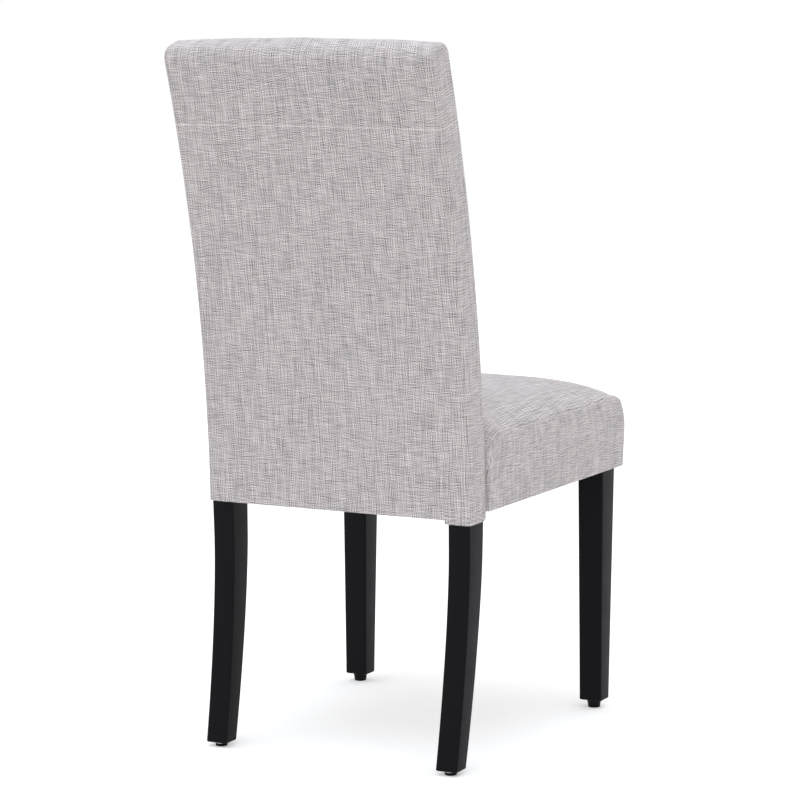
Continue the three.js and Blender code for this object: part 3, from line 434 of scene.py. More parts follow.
def boxing_surface(share, inset):
    """Outlines at shares of the wall's height, drawn in by the inset and bent in between their
    corners; the height is the share's, less the square of the share of the seam's dip."""
    height = seat_hem + seat_side_height * share
    joint = back_point(height - seam_rear_dip * share**2, -back_thickness / 2)[0] - joint_gap
    rear = np.maximum(seat_rear, joint) - inset
    front = seat_front + seat_front_bulge * curve_through(wall_knots, front_inset_shares, share) + inset
    side = seat_side_bulge * curve_through(wall_knots, side_inset_shares, share) + inset
    rear_radius = seat_rear_radius * curve_through(wall_knots, radius_shares, share) - inset
    rear_radius = np.maximum(rear_radius, back_least_radius)
    front_growth = smooth(share / front_corner_share)
    front_radius = seat_hem_radius + (seat_front_radius - seat_hem_radius) * front_growth - inset
    rear_x = seat_rear_width / 2 - side - rear_radius
    front_x = seat_front_width / 2 - side - front_radius
    corners = np.array([
        np.stack([rear_x, rear - rear_radius, rear_radius], axis=-1),
        np.stack([-rear_x, rear - rear_radius, rear_radius], axis=-1),
        np.stack([-front_x, front + front_radius, front_radius], axis=-1),
        np.stack([front_x, front + front_radius, front_radius], axis=-1),
    ])
    plan = round_outline(corners, seat_sides)
    along = (plan[..., 1] - rear[:, None]) / (front - rear)[:, None]
    beside = plan[..., 0] / seat_half_width(plan[..., 1])
    draw = seat_side_draw * curve_through(wall_knots, draw_shares, share)[:, None]
    x = plan[..., 0] - beside * draw * 4 * along * (1 - along)
    y = plan[..., 1] + draw * (1 - beside**2) * smooth(2 * along - 1)
    z = height[:, None] - seam_dip(y) * share[:, None] ** 2
    return np.stack([x, y, z], axis=-1)


long_shares = between(0, 1, seat_long_count)
short_shares = between(0, 1, seat_short_count)
seat_sides = [long_shares, short_shares, long_shares, short_shares]
seat_rim_width = 0.0048
rim = np.array([seat_rim_width, (seat_rim_width + hem_roll) / 2])
boxing_insets = np.concatenate([rim, hem_roll * (1 - np.sin(quarter_turn))])
wall_heights = np.linspace(hem_roll, seat_side_height - seam_steps[0], seat_row_count)[1:]
wall_heights = np.append(wall_heights, seat_side_height - seam_steps[1:])
boxing_heights = np.concatenate([0 * rim, hem_roll * (1 - np.cos(quarter_turn)), wall_heights])
boxing_insets = np.append(boxing_insets, 0 * wall_heights)
boxing_points = boxing_surface(boxing_heights / seat_side_height, boxing_insets)
print("the boxing has", boxing_points.shape[0], "rows of", boxing_points.shape[1], "points")

# %% [markdown]
# The top panel starts at the seam with a few rings, close together so that the seam can be a real
# groove. Inside them the panel is a patch stretched between its four sides, which has no pole in
# the middle, so the cloth can be simulated and the weave stays square.

# %% Shape of the seat's top
seat_crown = 0.0328
crown_power_across = 5.8
crown_power_along = 4.8
dip_power = 6
ring_steps = np.array([0.0008, 0.0018, 0.0035, 0.0065, 0.0115])
seat_middle = np.array([0, (seat_rear + seat_front) / 2])
seat_reach = seat_depth / 2
seat_starts = np.cumsum([0] + [n for side in seat_sides for n in (corner_points, len(side))])
corner_columns = [seat_starts[2 * quarter] + half_corner for quarter in range(4)]
seat_column_count = boxing_points.shape[1]


def side_columns(first, last):
    """The columns from one corner's middle to the next, the wrap included."""
    count = (last - first) % seat_column_count
    return (first + np.arange(count + 1)) % seat_column_count


rear_side = side_columns(corner_columns[0], corner_columns[1])[::-1]
right_side = side_columns(corner_columns[1], corner_columns[2])[::-1]
front_side = side_columns(corner_columns[2], corner_columns[3])
left_side = side_columns(corner_columns[3], corner_columns[0])


def shares_along(points):
    """Each point's share of the length walked along a line, from -1 to 1."""
    walked_to = lengths_along(points)
    return 2 * walked_to / walked_to[-1] - 1


seam_line = boxing_points[-1]
across_shares = (shares_along(seam_line[front_side, :2]) + shares_along(seam_line[rear_side, :2])) / 2
along_shares = (shares_along(seam_line[left_side, :2]) + shares_along(seam_line[right_side, :2])) / 2


def seam_shares():
    """For each column of the seam, its share of the way across and along the seat, -1 to 1."""
    shares = np.zeros((seat_column_count, 2))
    for line, edge in ((front_side, -1), (rear_side, 1)):
        shares[line, 0], shares[line, 1] = across_shares, edge
    for line, edge in ((right_side, -1), (left_side, 1)):
        shares[line[1:-1], 0], shares[line[1:-1], 1] = edge, along_shares[1:-1]
    return shares


def top_surface(plan, shares):
    """Across and along, the crown falls by a power of the share to nothing at the seam. The seam's
    own dip fades inwards by the square of a rounded distance."""
    a, b = np.abs(shares[..., 0]), np.abs(shares[..., 1])
    near_seam = np.minimum((a**dip_power + b**dip_power) ** (1 / dip_power), 1)
    level = seat_hem + seat_side_height - seam_dip(plan[..., 1]) * near_seam**2
    crown = seat_crown * (1 - a**crown_power_across) * (1 - b**crown_power_along)
    return np.concatenate([plan, (level + crown)[..., None]], axis=-1)


def patch_between(front, rear, right, left, u, v):
    """A Coons patch: the four sides are blended across and along, and the corners counted once."""
    u, v = u[None, :, None], v[:, None, None]
    sides = (1 - v) * front[None] + v * rear[None] + (1 - u) * right[:, None] + u * left[:, None]
    low = (1 - u) * front[0] + u * front[-1]
    high = (1 - u) * rear[0] + u * rear[-1]
    return sides - (1 - v) * low - v * high


ring_scales = 1 - ring_steps / seat_reach
ring_shares = seam_shares()[None] * ring_scales[:, None, None]
ring_plans = seat_middle + (seam_line[None, :, :2] - seat_middle) * ring_scales[:, None, None]
ring_points = top_surface(ring_plans, ring_shares)
last_ring = ring_plans[-1]
patch_plan = patch_between(
    last_ring[front_side], last_ring[rear_side], last_ring[right_side], last_ring[left_side],
    (across_shares + 1) / 2, (along_shares + 1) / 2,
)
patch_shares = np.stack(np.meshgrid(across_shares, along_shares), axis=-1) * ring_scales[-1]
patch_points = top_surface(patch_plan, patch_shares)
print("the top panel is a patch of", patch_points.shape[0], "by", patch_points.shape[1], "points")

# %% [markdown]
# Seen from below, the cloth is turned in and stapled to the rails. At the front it first runs back
# under the pad, and it is cut out round the front legs. These level pieces are cut from a grid:
# faces outside the wanted shape are left out.

# %% Cloth turned under
front_leg_depth = 0.042
turned_in = 0.018
leg_room = 0.0015
rim_overlap = 0.001
turned_rise = 0.0003
inside_count = 25
beyond_count = 5
leg_inner = leg_low.x - leg_room
leg_front = leg_low.y
leg_rear = leg_front + front_leg_depth + leg_room
rail_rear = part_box("seat_rail_rear")[1].y
margin_front = seat_front + seat_front_bulge + seat_rim_width - rim_overlap
margin_rear = seat_rear - seat_rim_width + rim_overlap
margin_radius = seat_hem_radius - seat_rim_width


def level_grid(half_width, inner_x, y, height):
    """Even columns between the two inner x and a few more out to the half width, of which each y has
    its own, all at one height."""
    beyond = inner_x + (half_width[:, None] - inner_x) * np.linspace(0, 1, beyond_count)[1:]
    inside = np.linspace(-inner_x, inner_x, inside_count) + 0 * half_width[:, None]
    x = np.concatenate([-beyond[:, ::-1], inside, beyond], axis=1)
    return np.stack([x, y[:, None] + 0 * x, height + 0 * x], axis=-1)


def cut_out(points, wanted):
    """The faces of a level grid whose middles are wanted, facing down, and the points they use."""
    faces = grid_faces(*points.shape[:2], wrap=False).reshape(-1, 4)[:, ::-1]
    flat_points = points.reshape(-1, 3)
    middles = flat_points[faces].mean(axis=1)
    used, corners = np.unique(faces[wanted(np.abs(middles[:, 0]), middles[:, 1])], return_inverse=True)
    return flat_points[used], corners.reshape(-1, 4)


def margin_half_width(y):
    """The rim's inner edge: straight along the sides and a quarter circle at the front corners."""
    side = seat_half_width(y) - seat_side_bulge - seat_rim_width + rim_overlap
    into_corner = np.clip((margin_front + margin_radius - y) / margin_radius, 0, 1)
    return side - margin_radius * (1 - np.sqrt(1 - into_corner**2))


def by_a_leg(x, y):
    """Where a front leg comes through."""
    return (x > leg_inner) & (y > leg_front - leg_room) & (y < leg_rear)


def in_margin(x, y):
    """The strip along the edges, wider in front, less the legs."""
    at_end = (y < leg_front + turned_in) | (y > rail_rear - turned_in)
    return (at_end | (x > margin_half_width(y) - turned_in)) & ~by_a_leg(x, y)


few_rows, corner_rows, side_rows = 3, 6, 24
margin_y = np.concatenate([
    between(margin_front, margin_front + margin_radius, corner_rows),
    between(margin_front + margin_radius, leg_front - leg_room, few_rows),
    between(leg_front - leg_room, leg_front + turned_in, few_rows),
    between(leg_front + turned_in, leg_rear, few_rows),
    between(leg_rear, rail_rear - turned_in, side_rows),
    np.linspace(rail_rear - turned_in, margin_rear, few_rows),
])
margin_grid = level_grid(margin_half_width(margin_y), leg_inner, margin_y, seat_hem + turned_rise)
margin_points, margin_faces = cut_out(margin_grid, in_margin)

post_inner = post_high.x - post_width
under_back_shares = np.linspace(-1, 1, 5)
under_back_y = back_line + (back_thickness / 2 - rim_width + rim_overlap) * under_back_shares
under_back_half = np.full(len(under_back_y), post_inner)
under_back_grid = level_grid(
    under_back_half, post_inner - turned_in, under_back_y, hem_height + turned_rise,
)
under_back_points, under_back_faces = cut_out(under_back_grid, lambda x, y: x < post_inner)
print("turned-in cloth:", len(margin_faces), "and", len(under_back_faces), "faces, under seat and back")

# %% [markdown]
# Foam under a tight cover pushes the cloth out between its seams, and a seam takes up less cloth
# than is fed to it, which leaves it uneven. A cloth simulation gives both. The cover is held at its
# hems, seams and joints and blown up a little over twenty frames, and each point's movement is
# capped, so that the cover keeps its size. The grid is even already, so it isn't remeshed, and the
# cloth keeps its weave.

# %% Cloth simulation
swell_frames = 20
swell_pressure = 4.0
extra_cloth = 0.03
cloth_mass = 0.3
cloth_stiffness = 20
cloth_bending = 0.4
cloth_quality = 6
weight_steps = 20


def read_rows(items, label, width):
    """One kind of number from every item of a mesh, as rows of the given width."""
    values = np.empty(len(items) * width, dtype=np.float32)
    items.foreach_get(label, values)
    return values.reshape(-1, width).astype(float)


def coordinates(mesh):
    """All points of a mesh as an array."""
    return read_rows(mesh.vertices, "co", 3)


def set_coordinates(mesh, points):
    """Puts an array of points back into the mesh."""
    mesh.vertices.foreach_set("co", np.ascontiguousarray(points, dtype=np.float32).ravel())
    mesh.update()


def normals(mesh):
    """Each point's normal as an array."""
    return read_rows(mesh.vertex_normals, "vector", 3)


def kept_values(mesh, name):
    """Reads one stored number per point and drops the store."""
    layer = mesh.attributes[name]
    values = read_rows(layer.data, "value", 1)[:, 0]
    mesh.attributes.remove(layer)
    return values


def weigh(piece, name, weights):
    """A vertex group with a weight per point, rounded to even steps."""
    group = piece.vertex_groups.new(name=name)
    steps = np.round(weights * weight_steps) / weight_steps
    for weight in np.unique(steps[steps > 0]):
        group.add(np.flatnonzero(steps == weight).tolist(), float(weight), "REPLACE")


def swell(piece, held, fullness, cap):
    """Blows the piece up where it isn't held. A point moves towards where the simulation took it,
    by the cap times the hyperbolic tangent of its move over the cap."""
    trial = piece.copy()
    trial.data = piece.data.copy()
    bpy.context.scene.collection.objects.link(trial)
    weigh(trial, "held", held)
    weigh(trial, "fullness", fullness)
    cloth = trial.modifiers.new("cloth", "CLOTH")
    settings = cloth.settings
    settings.quality = cloth_quality
    settings.mass = cloth_mass
    settings.tension_stiffness = cloth_stiffness
    settings.compression_stiffness = cloth_stiffness
    settings.bending_stiffness = cloth_bending
    settings.vertex_group_mass = "held"
    settings.vertex_group_shrink = "fullness"
    settings.shrink_max = -extra_cloth
    settings.use_pressure = True
    settings.uniform_pressure_force = swell_pressure
    settings.effector_weights.gravity = 0
    cloth.collision_settings.use_collision = False
    for number in range(1, swell_frames + 1):
        bpy.context.scene.frame_set(number)
    blown = coordinates(trial.evaluated_get(bpy.context.evaluated_depsgraph_get()).data)
    bpy.data.objects.remove(trial, do_unlink=True)
    bpy.context.scene.frame_set(1)
    start = coordinates(piece.data)
    move = blown - start
    size = np.linalg.norm(move, axis=1, keepdims=True)
    held_back = cap * np.tanh(size / cap) / np.maximum(size, 1e-9)
    set_coordinates(piece.data, start + move * held_back)
    print(piece.name, "swelled by up to", round(float(size.max()) * 1000, 1), "mm, capped at", cap * 1000)


# %% [markdown]
# A sewn edge is a groove: both cloths dive into it. The simulation can't show one that narrow, so
# it is pressed in afterwards, with a low roll beside it and puckers that fade out a finger's width
# away. Long soft waves, a fraction of a millimetre high, keep the wide faces from looking machined.

# %% Seams and waves
groove_width = 0.0016
roll_share = 0.25
pucker_pitch = 0.0125
pucker_reach = 0.008
pucker_drifts = [(0.9, 0.071, 0), (0.7, 0.0313, 1.3)]
wave_count = 7
wave_spread = (0.6, 1.6)
cloth_levels = 1


def press_seam(mesh, distance, walk, depth, pucker):
    """Moves points along their normals: in by the depth times a bell of the distance from the seam,
    out by a share of it in a roll beside, and up and down with the pucker, a cosine of the walk along
    the seam whose pitch drifts by two slow sines."""
    bell = np.exp(-((distance / groove_width) ** 2))
    roll = np.exp(-(((np.abs(distance) - 3 * groove_width) / (2 * groove_width)) ** 2))
    drift = sum(size * np.sin(walk / length + start) for size, length, start in pucker_drifts)
    wave = np.cos(2 * math.pi * walk / pucker_pitch + drift)
    wave *= np.exp(-np.abs(distance) / pucker_reach) * (1 - bell)
    push = -depth * bell + roll_share * depth * roll + pucker * wave
    set_coordinates(mesh, coordinates(mesh) + normals(mesh) * push[:, None])


def add_waves(mesh, height, length, seed, weight):
    """Moves points along their normals by a sum of a few plane waves in random directions."""
    random = np.random.default_rng(seed)
    points = coordinates(mesh)
    waves = random.normal(size=(wave_count, 3))
    scale = (2 * math.pi / length) * random.uniform(*wave_spread, (wave_count, 1))
    waves *= scale / np.linalg.norm(waves, axis=1, keepdims=True)
    phases = random.uniform(0, 2 * math.pi, wave_count)
    rise = np.cos(points @ waves.T + phases).sum(axis=1) / math.sqrt(wave_count)
    set_coordinates(mesh, points + normals(mesh) * (height * rise * weight)[:, None])


def refine(piece):
    """Rounds the grid off with a subdivision surface."""
    modifier = piece.modifiers.new("smooth cloth", "SUBSURF")
    modifier.levels = cloth_levels
    modifier.render_levels = cloth_levels
    modifier.uv_smooth = "PRESERVE_BOUNDARIES"


def dress(piece, cap, wave_height, wave_length, seed, groove_depth, pucker):
    """Swells a cover and presses its waves and its seams in, by the numbers kept in its points."""
    labels = ("held", "fullness", "seam", "walk")
    held, fullness, seam, walk = (kept_values(piece.data, label) for label in labels)
    swell(piece, held, fullness, cap)
    add_waves(piece.data, wave_height, wave_length, seed, weight=1 - held)
    press_seam(piece.data, seam, walk, groove_depth, pucker)
    refine(piece)


# %% [markdown]
# The back's upholstery is made from the sleeve's grid. The cloth is held at the hem, at the front
# seams and a little less firmly at the four upright corners, where it is pulled over the posts. Some
# extra cloth is let in beside the seams and above the hem, where sewing and stapling gather it.

# %% Back upholstery
hem_hold_reach = 0.03
corner_hold = 0.8
corner_hold_reach = 0.016
seam_hold_reach = 0.006
seam_hold_width = 1.4
fullness_reach = 0.03
hem_fullness = 0.6
hem_fullness_reach = 0.06
sleeve_faces = grid_faces(row_count, column_count, wrap=True).reshape(-1, 4)
row_numbers = np.arange(row_count)[:, None]
column_numbers = np.arange(column_count)[None, :]


def column_distance(column):
    """Distance round the back from each column to the given one."""
    gap = np.abs(walked[:-1] - walked[column])
    return np.minimum(gap, walked[-1] - gap)


seam_gap = np.minimum(column_distance(right_seam_column), column_distance(left_seam_column))[None, :]
top_gap = np.abs(climbed - climbed[last_wall_row])[:, None]
between_seams = (column_numbers >= right_seam_column) & (column_numbers <= left_seam_column)
below_top = np.where(row_numbers <= last_wall_row, seam_gap, np.hypot(seam_gap, top_gap))
sleeve_seam_distance = np.where(between_seams, np.minimum(below_top, top_gap), below_top)
sleeve_seam_walk = np.where(between_seams & (top_gap < seam_gap), walked[:-1][None, :], climbed[:, None])
corner_starts = starts[[0, 2, 4, 6]]
corner_gap = np.min([column_distance(start + half_corner) for start in corner_starts], axis=0)[None, :]
sleeve_hem_hold = smooth(1 - (climbed[:, None] - climbed[first_wall_row]) / hem_hold_reach)
sleeve_corner_hold = corner_hold * smooth(1 - corner_gap / corner_hold_reach) + 0 * climbed[:, None]
sleeve_seam_hold = smooth(seam_hold_width - sleeve_seam_distance / seam_hold_reach)
sleeve_held = np.maximum(np.maximum(sleeve_hem_hold, sleeve_corner_hold), sleeve_seam_hold)
sleeve_fullness = smooth(1 - sleeve_seam_distance / fullness_reach)
sleeve_fullness = sleeve_fullness + hem_fullness * smooth(1 - climbed[:, None] / hem_fullness_reach)


def with_level_cloth(values, count, constant):
    """One value per point, with the same one for each point of a level piece added at the end."""
    return np.append(np.ravel(values), np.full(count, constant))


under_back_count = len(under_back_points)
back_upholstery = mesh_object(
    "back_upholstery",
    np.concatenate([sleeve_points.reshape(-1, 3), under_back_points]),
    np.concatenate([sleeve_faces, under_back_faces + sleeve_points.shape[0] * column_count]),
    np.concatenate([sleeve_places.reshape(-1, 2), under_back_points[under_back_faces.ravel(), :2]]),
    cloth_merging_distance,
    held=with_level_cloth(sleeve_held, under_back_count, 1),
    fullness=with_level_cloth(np.minimum(sleeve_fullness, 1), under_back_count, 0),
    seam=with_level_cloth(sleeve_seam_distance, under_back_count, 1),
    walk=with_level_cloth(sleeve_seam_walk, under_back_count, 0),
)
print("the sleeve has", len(back_upholstery.data.polygons), "faces")
dress(
    back_upholstery, cap=0.0016, wave_height=0.0003, wave_length=0.11, seed=3,
    groove_depth=0.0012, pucker=0.0002,
)
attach(back_upholstery, "root")
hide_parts("back_cover", "back_foam", "back_wadding")

# %% [markdown]
# The seat's upholstery joins the boxing, the rings and the patch into one skin. It is held at the
# hem, at the seam, and all over its rear face, which is pressed against the back.

# %% Seat upholstery
rear_hold_reach = 0.030
rear_hold_fade = 0.018
seat_hem_hold_reach = 0.012
seat_hem_hold_width = 1.2
seat_seam_hold_reach = 0.003
seat_seam_hold_width = 1.5
seat_fullness_reach = 0.035
wall_rows = boxing_points.shape[0]
skin_points = np.concatenate([boxing_points, ring_points])
skin_rows = skin_points.shape[0]
skin_faces = grid_faces(skin_rows, seat_column_count, wrap=True)
patch_rows, patch_columns = patch_points.shape[:2]
patch_faces = grid_faces(patch_rows, patch_columns, wrap=False) + skin_rows * seat_column_count

seam_walk = lengths_round(seam_line)
hem_walk = lengths_round(boxing_points[len(rim) + len(quarter_turn) - 1])
rear_start = (seat_starts[1] + seat_starts[2]) // 2
boxing_across = np.where(np.arange(seat_column_count + 1) < rear_start, hem_walk + hem_walk[-1], hem_walk)
boxing_climb = lengths_along(boxing_points)[:, seat_starts[3] + seat_short_count // 2]
boxing_climb = np.append(boxing_climb, boxing_climb[-1] + ring_steps)
boxing_places = face_places(panel_places(boxing_across, boxing_climb))
closed_skin = np.concatenate([skin_points, skin_points[:, :1]], axis=1)
top_places = face_places(closed_skin[..., :2])
on_top = (np.arange(skin_rows - 1) >= wall_rows - 1)[:, None, None, None]
skin_places = np.where(on_top, top_places, boxing_places)
patch_places = face_places(patch_points[..., :2])

skin_distance = np.append(boxing_climb[:wall_rows] - boxing_climb[wall_rows - 1], ring_steps)
margin_count = len(margin_points)
patch_count = patch_rows * patch_columns
seat_seam_distance = with_level_cloth(np.concatenate([
    np.repeat(skin_distance, seat_column_count),
    (seat_reach * (1 - np.abs(patch_shares).max(axis=-1))).ravel(),
]), margin_count, 1)
seat_seam_walk = with_level_cloth(np.tile(seam_walk[:-1], skin_rows), patch_count + margin_count, 0)
seat_points = np.concatenate([skin_points.reshape(-1, 3), patch_points.reshape(-1, 3), margin_points])
rear_gap = seat_points[:, 1] - seat_rear
rear_hold = smooth((rear_gap + rear_hold_reach) / rear_hold_fade)
skin_heights = np.repeat(np.append(boxing_heights, 1 + ring_steps), seat_column_count)
above_hem = with_level_cloth(with_level_cloth(skin_heights, patch_count, 1), margin_count, 0)
seat_hem_hold = smooth(seat_hem_hold_width - above_hem / seat_hem_hold_reach)
seat_seam_hold = smooth(seat_seam_hold_width - np.abs(seat_seam_distance) / seat_seam_hold_reach)
seat_held = np.maximum(np.maximum(rear_hold, seat_hem_hold), seat_seam_hold)
seat_fullness = smooth(1 - np.abs(seat_seam_distance) / seat_fullness_reach)

margin_corners = margin_faces + len(seat_points) - margin_count
seat_upholstery = mesh_object(
    "seat_upholstery",
    seat_points,
    np.concatenate([skin_faces.reshape(-1, 4), patch_faces.reshape(-1, 4), margin_corners]),
    np.concatenate([
        skin_places.reshape(-1, 2), patch_places.reshape(-1, 2), margin_points[margin_faces.ravel(), :2],
    ]),
    cloth_merging_distance,
    held=seat_held, fullness=seat_fullness, seam=seat_seam_distance, walk=seat_seam_walk,
)
print("the seat has", len(seat_upholstery.data.polygons), "faces")
dress(
    seat_upholstery, cap=0.003, wave_height=0.0005, wave_length=0.12, seed=11,
    groove_depth=0.0022, pucker=0.0004,
)
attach(seat_upholstery, "root")
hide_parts("seat_cover", "seat_foam", "seat_front_pad")

# %% [markdown]
# A thin black cloth closes the seat from below. It is cut to the rails, notched round the front
# legs, stretched and stapled, and sags a little in the middle.

# %% Dust cover
dust_inset = 0.009
rail_inset = 0.0025
dust_drop = 0.001
dust_sag = 0.002
dust_thickness = 0.0007
dust_front = leg_front + dust_inset
dust_rear = rail_rear - dust_inset


def dust_half_width(y):
    """Half the dust cover's width, a margin inside the rails."""
    return seat_half_width(y) - rail_inset - dust_inset


notch_rows, dust_rows = 4, 26
dust_y = np.concatenate([
    between(dust_front, leg_rear, notch_rows), np.linspace(leg_rear, dust_rear, dust_rows),
])
dust_grid = level_grid(dust_half_width(dust_y), leg_inner, dust_y, seat_hem - dust_drop)
dust_points, dust_faces = cut_out(dust_grid, lambda x, y: ~by_a_leg(x, y))
dust_across = dust_points[:, 0] / dust_half_width(dust_points[:, 1])
dust_along = 2 * (dust_points[:, 1] - dust_front) / (dust_rear - dust_front) - 1
dust_points[:, 2] -= dust_sag * (1 - dust_across**2) * (1 - dust_along**2)
dust_cover = mesh_object("dust_cover_cloth", dust_points, dust_faces)
wall = dust_cover.modifiers.new("thickness", "SOLIDIFY")
wall.thickness = dust_thickness
wall.offset = -1
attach(dust_cover, "root")
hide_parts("dust_cover")

# %% [markdown]
# Staples hold the dust cover. Each is a flat wire whose two ends go up into the rail, drawn as one
# short tube, and all of them are made at once from their middles and directions.

# %% Staples
staple_half, staple_bend, staple_depth = 0.0060, 0.0056, 0.0008
wire_half_width, wire_half_height = 0.0005, 0.0003
wire_sides = 8
staple_margin = 0.0045
front_staple_reach, rear_staple_reach = 0.160, 0.190
side_staple_start, side_staple_end = leg_rear + 0.012, dust_rear - 0.018
front_staples, rear_staples, side_staples = 9, 11, 9
front_x = np.linspace(-front_staple_reach, front_staple_reach, front_staples)
rear_x = np.linspace(-rear_staple_reach, rear_staple_reach, rear_staples)
side_y = np.linspace(side_staple_start, side_staple_end, side_staples)
side_x = dust_half_width(side_y) - staple_margin
staple_rows = [
    (front_x, dust_front + staple_margin, (1, 0)),
    (rear_x, dust_rear - staple_margin, (1, 0)),
    (side_x, side_y, (0, 1)),
    (-side_x, side_y, (0, 1)),
]
staple_middles = np.concatenate([np.stack([x, y + 0 * x], axis=-1) for x, y, aim in staple_rows])
staple_aims = np.concatenate([np.tile(aim, (len(x), 1)) for x, y, aim in staple_rows])
wire_along = np.array([-staple_half, -staple_half, -staple_bend, staple_bend, staple_half, staple_half])
wire_up = np.array([1, 1, 0, 0, 1, 1]) * staple_depth - wire_half_height
wire_size = np.array([0, 1, 1, 1, 1, 0])
wire_turn = between(0, 2 * math.pi, wire_sides)
wire_side = wire_size[:, None] * wire_half_width * np.cos(wire_turn)
wire_rise = wire_up[:, None] + wire_size[:, None] * wire_half_height * np.sin(wire_turn)
beside = np.stack([-staple_aims[:, 1], staple_aims[:, 0]], axis=-1)
plan = staple_middles[:, None, None] + staple_aims[:, None, None] * wire_along[:, None, None]
plan = plan + beside[:, None, None] * wire_side[None, :, :, None]
rise = np.broadcast_to(seat_hem - dust_drop + wire_rise, plan.shape[:3])
staple_points = np.concatenate([plan, rise[..., None]], axis=-1)
one_staple = grid_faces(*wire_side.shape, wrap=True).reshape(-1, 4)
staple_faces = one_staple + np.arange(len(staple_middles))[:, None, None] * wire_side.size
staples = mesh_object("dust_cover_staples", staple_points, staple_faces)
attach(staples, "root")
print("made", len(staple_middles), "staples")

# %% [markdown]
# The legs are solid wood. A rear post is one sawn piece from the floor to the top of the back: it
# sweeps back below the seat, and above it follows the back and thins where the foam begins. It is
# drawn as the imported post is, as a section of constant width between a rear and a front line, but
# with true round edges. The sections stay level below the hem and square to the line above it.

# %% Shape of the legs
post_rear_offset = 0.0212
post_low_offset = -0.0218
post_high_offset = -0.0033
post_foot_height = 0.0065
post_foot_depth = 0.0288
leg_toe_in = 0.0043
leg_sweep = 0.0405
leg_sweep_height = 0.296
leg_sweep_power = 1.56
shoulder_height = 0.060
thinning_length = 0.112
wood_edge_radius = 0.0025
foot_chamfer = 0.0012
first_level_section = 0.012
post_top_room = 0.001
lower_sections, upper_sections = 44, 50
end_ring_share = 0.6
post_face = back_line + post_rear_offset


def post_rear_y(height):
    """The rear face of the leg: a power curve that grows from nothing at the sweep's start."""
    rise = np.maximum((leg_sweep_height - height) / leg_sweep_height, 0)
    return post_face + leg_sweep * rise**leg_sweep_power


def post_depth(height):
    """The leg's depth, which grows evenly from the foot to the hem."""
    return post_foot_depth + (post_rear_offset - post_low_offset - post_foot_depth) * height / hem_height


def capped_mesh(name, rows):
    """A closed piece from stacked outlines: the ends are drawn in to their middles."""
    middles = rows[[0, -1]].mean(axis=1, keepdims=True)
    first = middles[0] + (rows[0] - middles[0]) * np.array([0, end_ring_share])[:, None, None]
    last = middles[1] + (rows[-1] - middles[1]) * np.array([end_ring_share, 0])[:, None, None]
    points = np.concatenate([first, rows, last])
    piece = mesh_object(name, points, grid_faces(*points.shape[:2], wrap=True))
    shade_by_angle(piece)
    return piece


def wood_section(half_x, half_y):
    """Round-cornered outlines about the origin, one per row, with nothing between the corners."""
    return round_outline(box_corners(half_x, half_y, wood_edge_radius), [np.zeros(1)] * 4)


def rear_post(side):
    """Stacked sections. Below the hem they are level and lean to the middle by the share of the way
    down. Above it they are square to the back's line and thin from the front."""
    half_width = post_width / 2
    middle_x = side * (post_high.x - half_width)
    foot = [post_foot_height, post_foot_height + foot_chamfer]
    low = np.concatenate([foot, np.linspace(first_level_section, hem_height, lower_sections)])
    leant = leg_toe_in * (hem_height - low[:, None]) / (hem_height - post_foot_height)
    chamfer = np.concatenate([[foot_chamfer], 0 * low[1:]])
    leg = wood_section(half_width - chamfer, post_depth(low) / 2 - chamfer)
    y = post_rear_y(low)[:, None] - post_depth(low)[:, None] / 2 + leg[..., 1]
    lower = np.stack([middle_x - side * leant + leg[..., 0], y, low[:, None] + 0 * y], axis=-1)
    high = np.linspace(hem_height, post_high.z - post_top_room, upper_sections)[1:]
    thin = smooth((high - hem_height - shoulder_height) / thinning_length)
    front = post_low_offset + (post_high_offset - post_low_offset) * thin
    half_depth = (post_rear_offset - front) / 2
    body = wood_section(half_width + 0 * high, half_depth)
    y, z = back_point(high[:, None], post_rear_offset - half_depth[:, None] + body[..., 1])
    upper = np.stack([middle_x + body[..., 0], y, z], axis=-1)
    return np.concatenate([lower, upper])


front_foot_height = 0.012
front_foot_width = 0.035
front_foot_depth = 0.029
front_foot_rake = 0.013
first_front_section = 0.02
front_sections = 24
front_leg_width = leg_high.x - leg_low.x


def front_leg(side):
    """Stacked level sections that shrink evenly to the foot, which stands a little further back."""
    foot = [front_foot_height, front_foot_height + foot_chamfer]
    above = np.linspace(first_front_section, seat_hem, front_sections)
    heights = np.concatenate([foot, above, [leg_high.z]])
    share = np.clip((seat_hem - heights) / (seat_hem - front_foot_height), 0, 1)
    chamfer = np.concatenate([[foot_chamfer], 0 * heights[1:]])
    width = front_leg_width + (front_foot_width - front_leg_width) * share
    depth = front_leg_depth + (front_foot_depth - front_leg_depth) * share
    section = wood_section(width / 2 - chamfer, depth / 2 - chamfer)
    x = side * (leg_low.x + leg_high.x) / 2 + section[..., 0]
    y = leg_front + front_leg_depth / 2 + (front_foot_rake * share)[:, None] + section[..., 1]
    return np.stack([x, y, heights[:, None] + 0 * x], axis=-1)


legs = []
for hand, side in (("left", 1), ("right", -1)):
    for label, shape in (("rear_post", rear_post), ("front_leg", front_leg)):
        leg = capped_mesh(f"{label}_{hand}_wood", shape(side))
        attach(leg, "root")
        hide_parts(f"{label}_{hand}")
        legs.append(leg)
print("made", [leg.name for leg in legs])

# %% [markdown]
# Each leg ends in a turned plug. A profile of radii and heights is carried round a circle, which is
# what a lathe does. The rear plugs have a thin bright collar over a black pad, and the front ones
# are taller and taper.

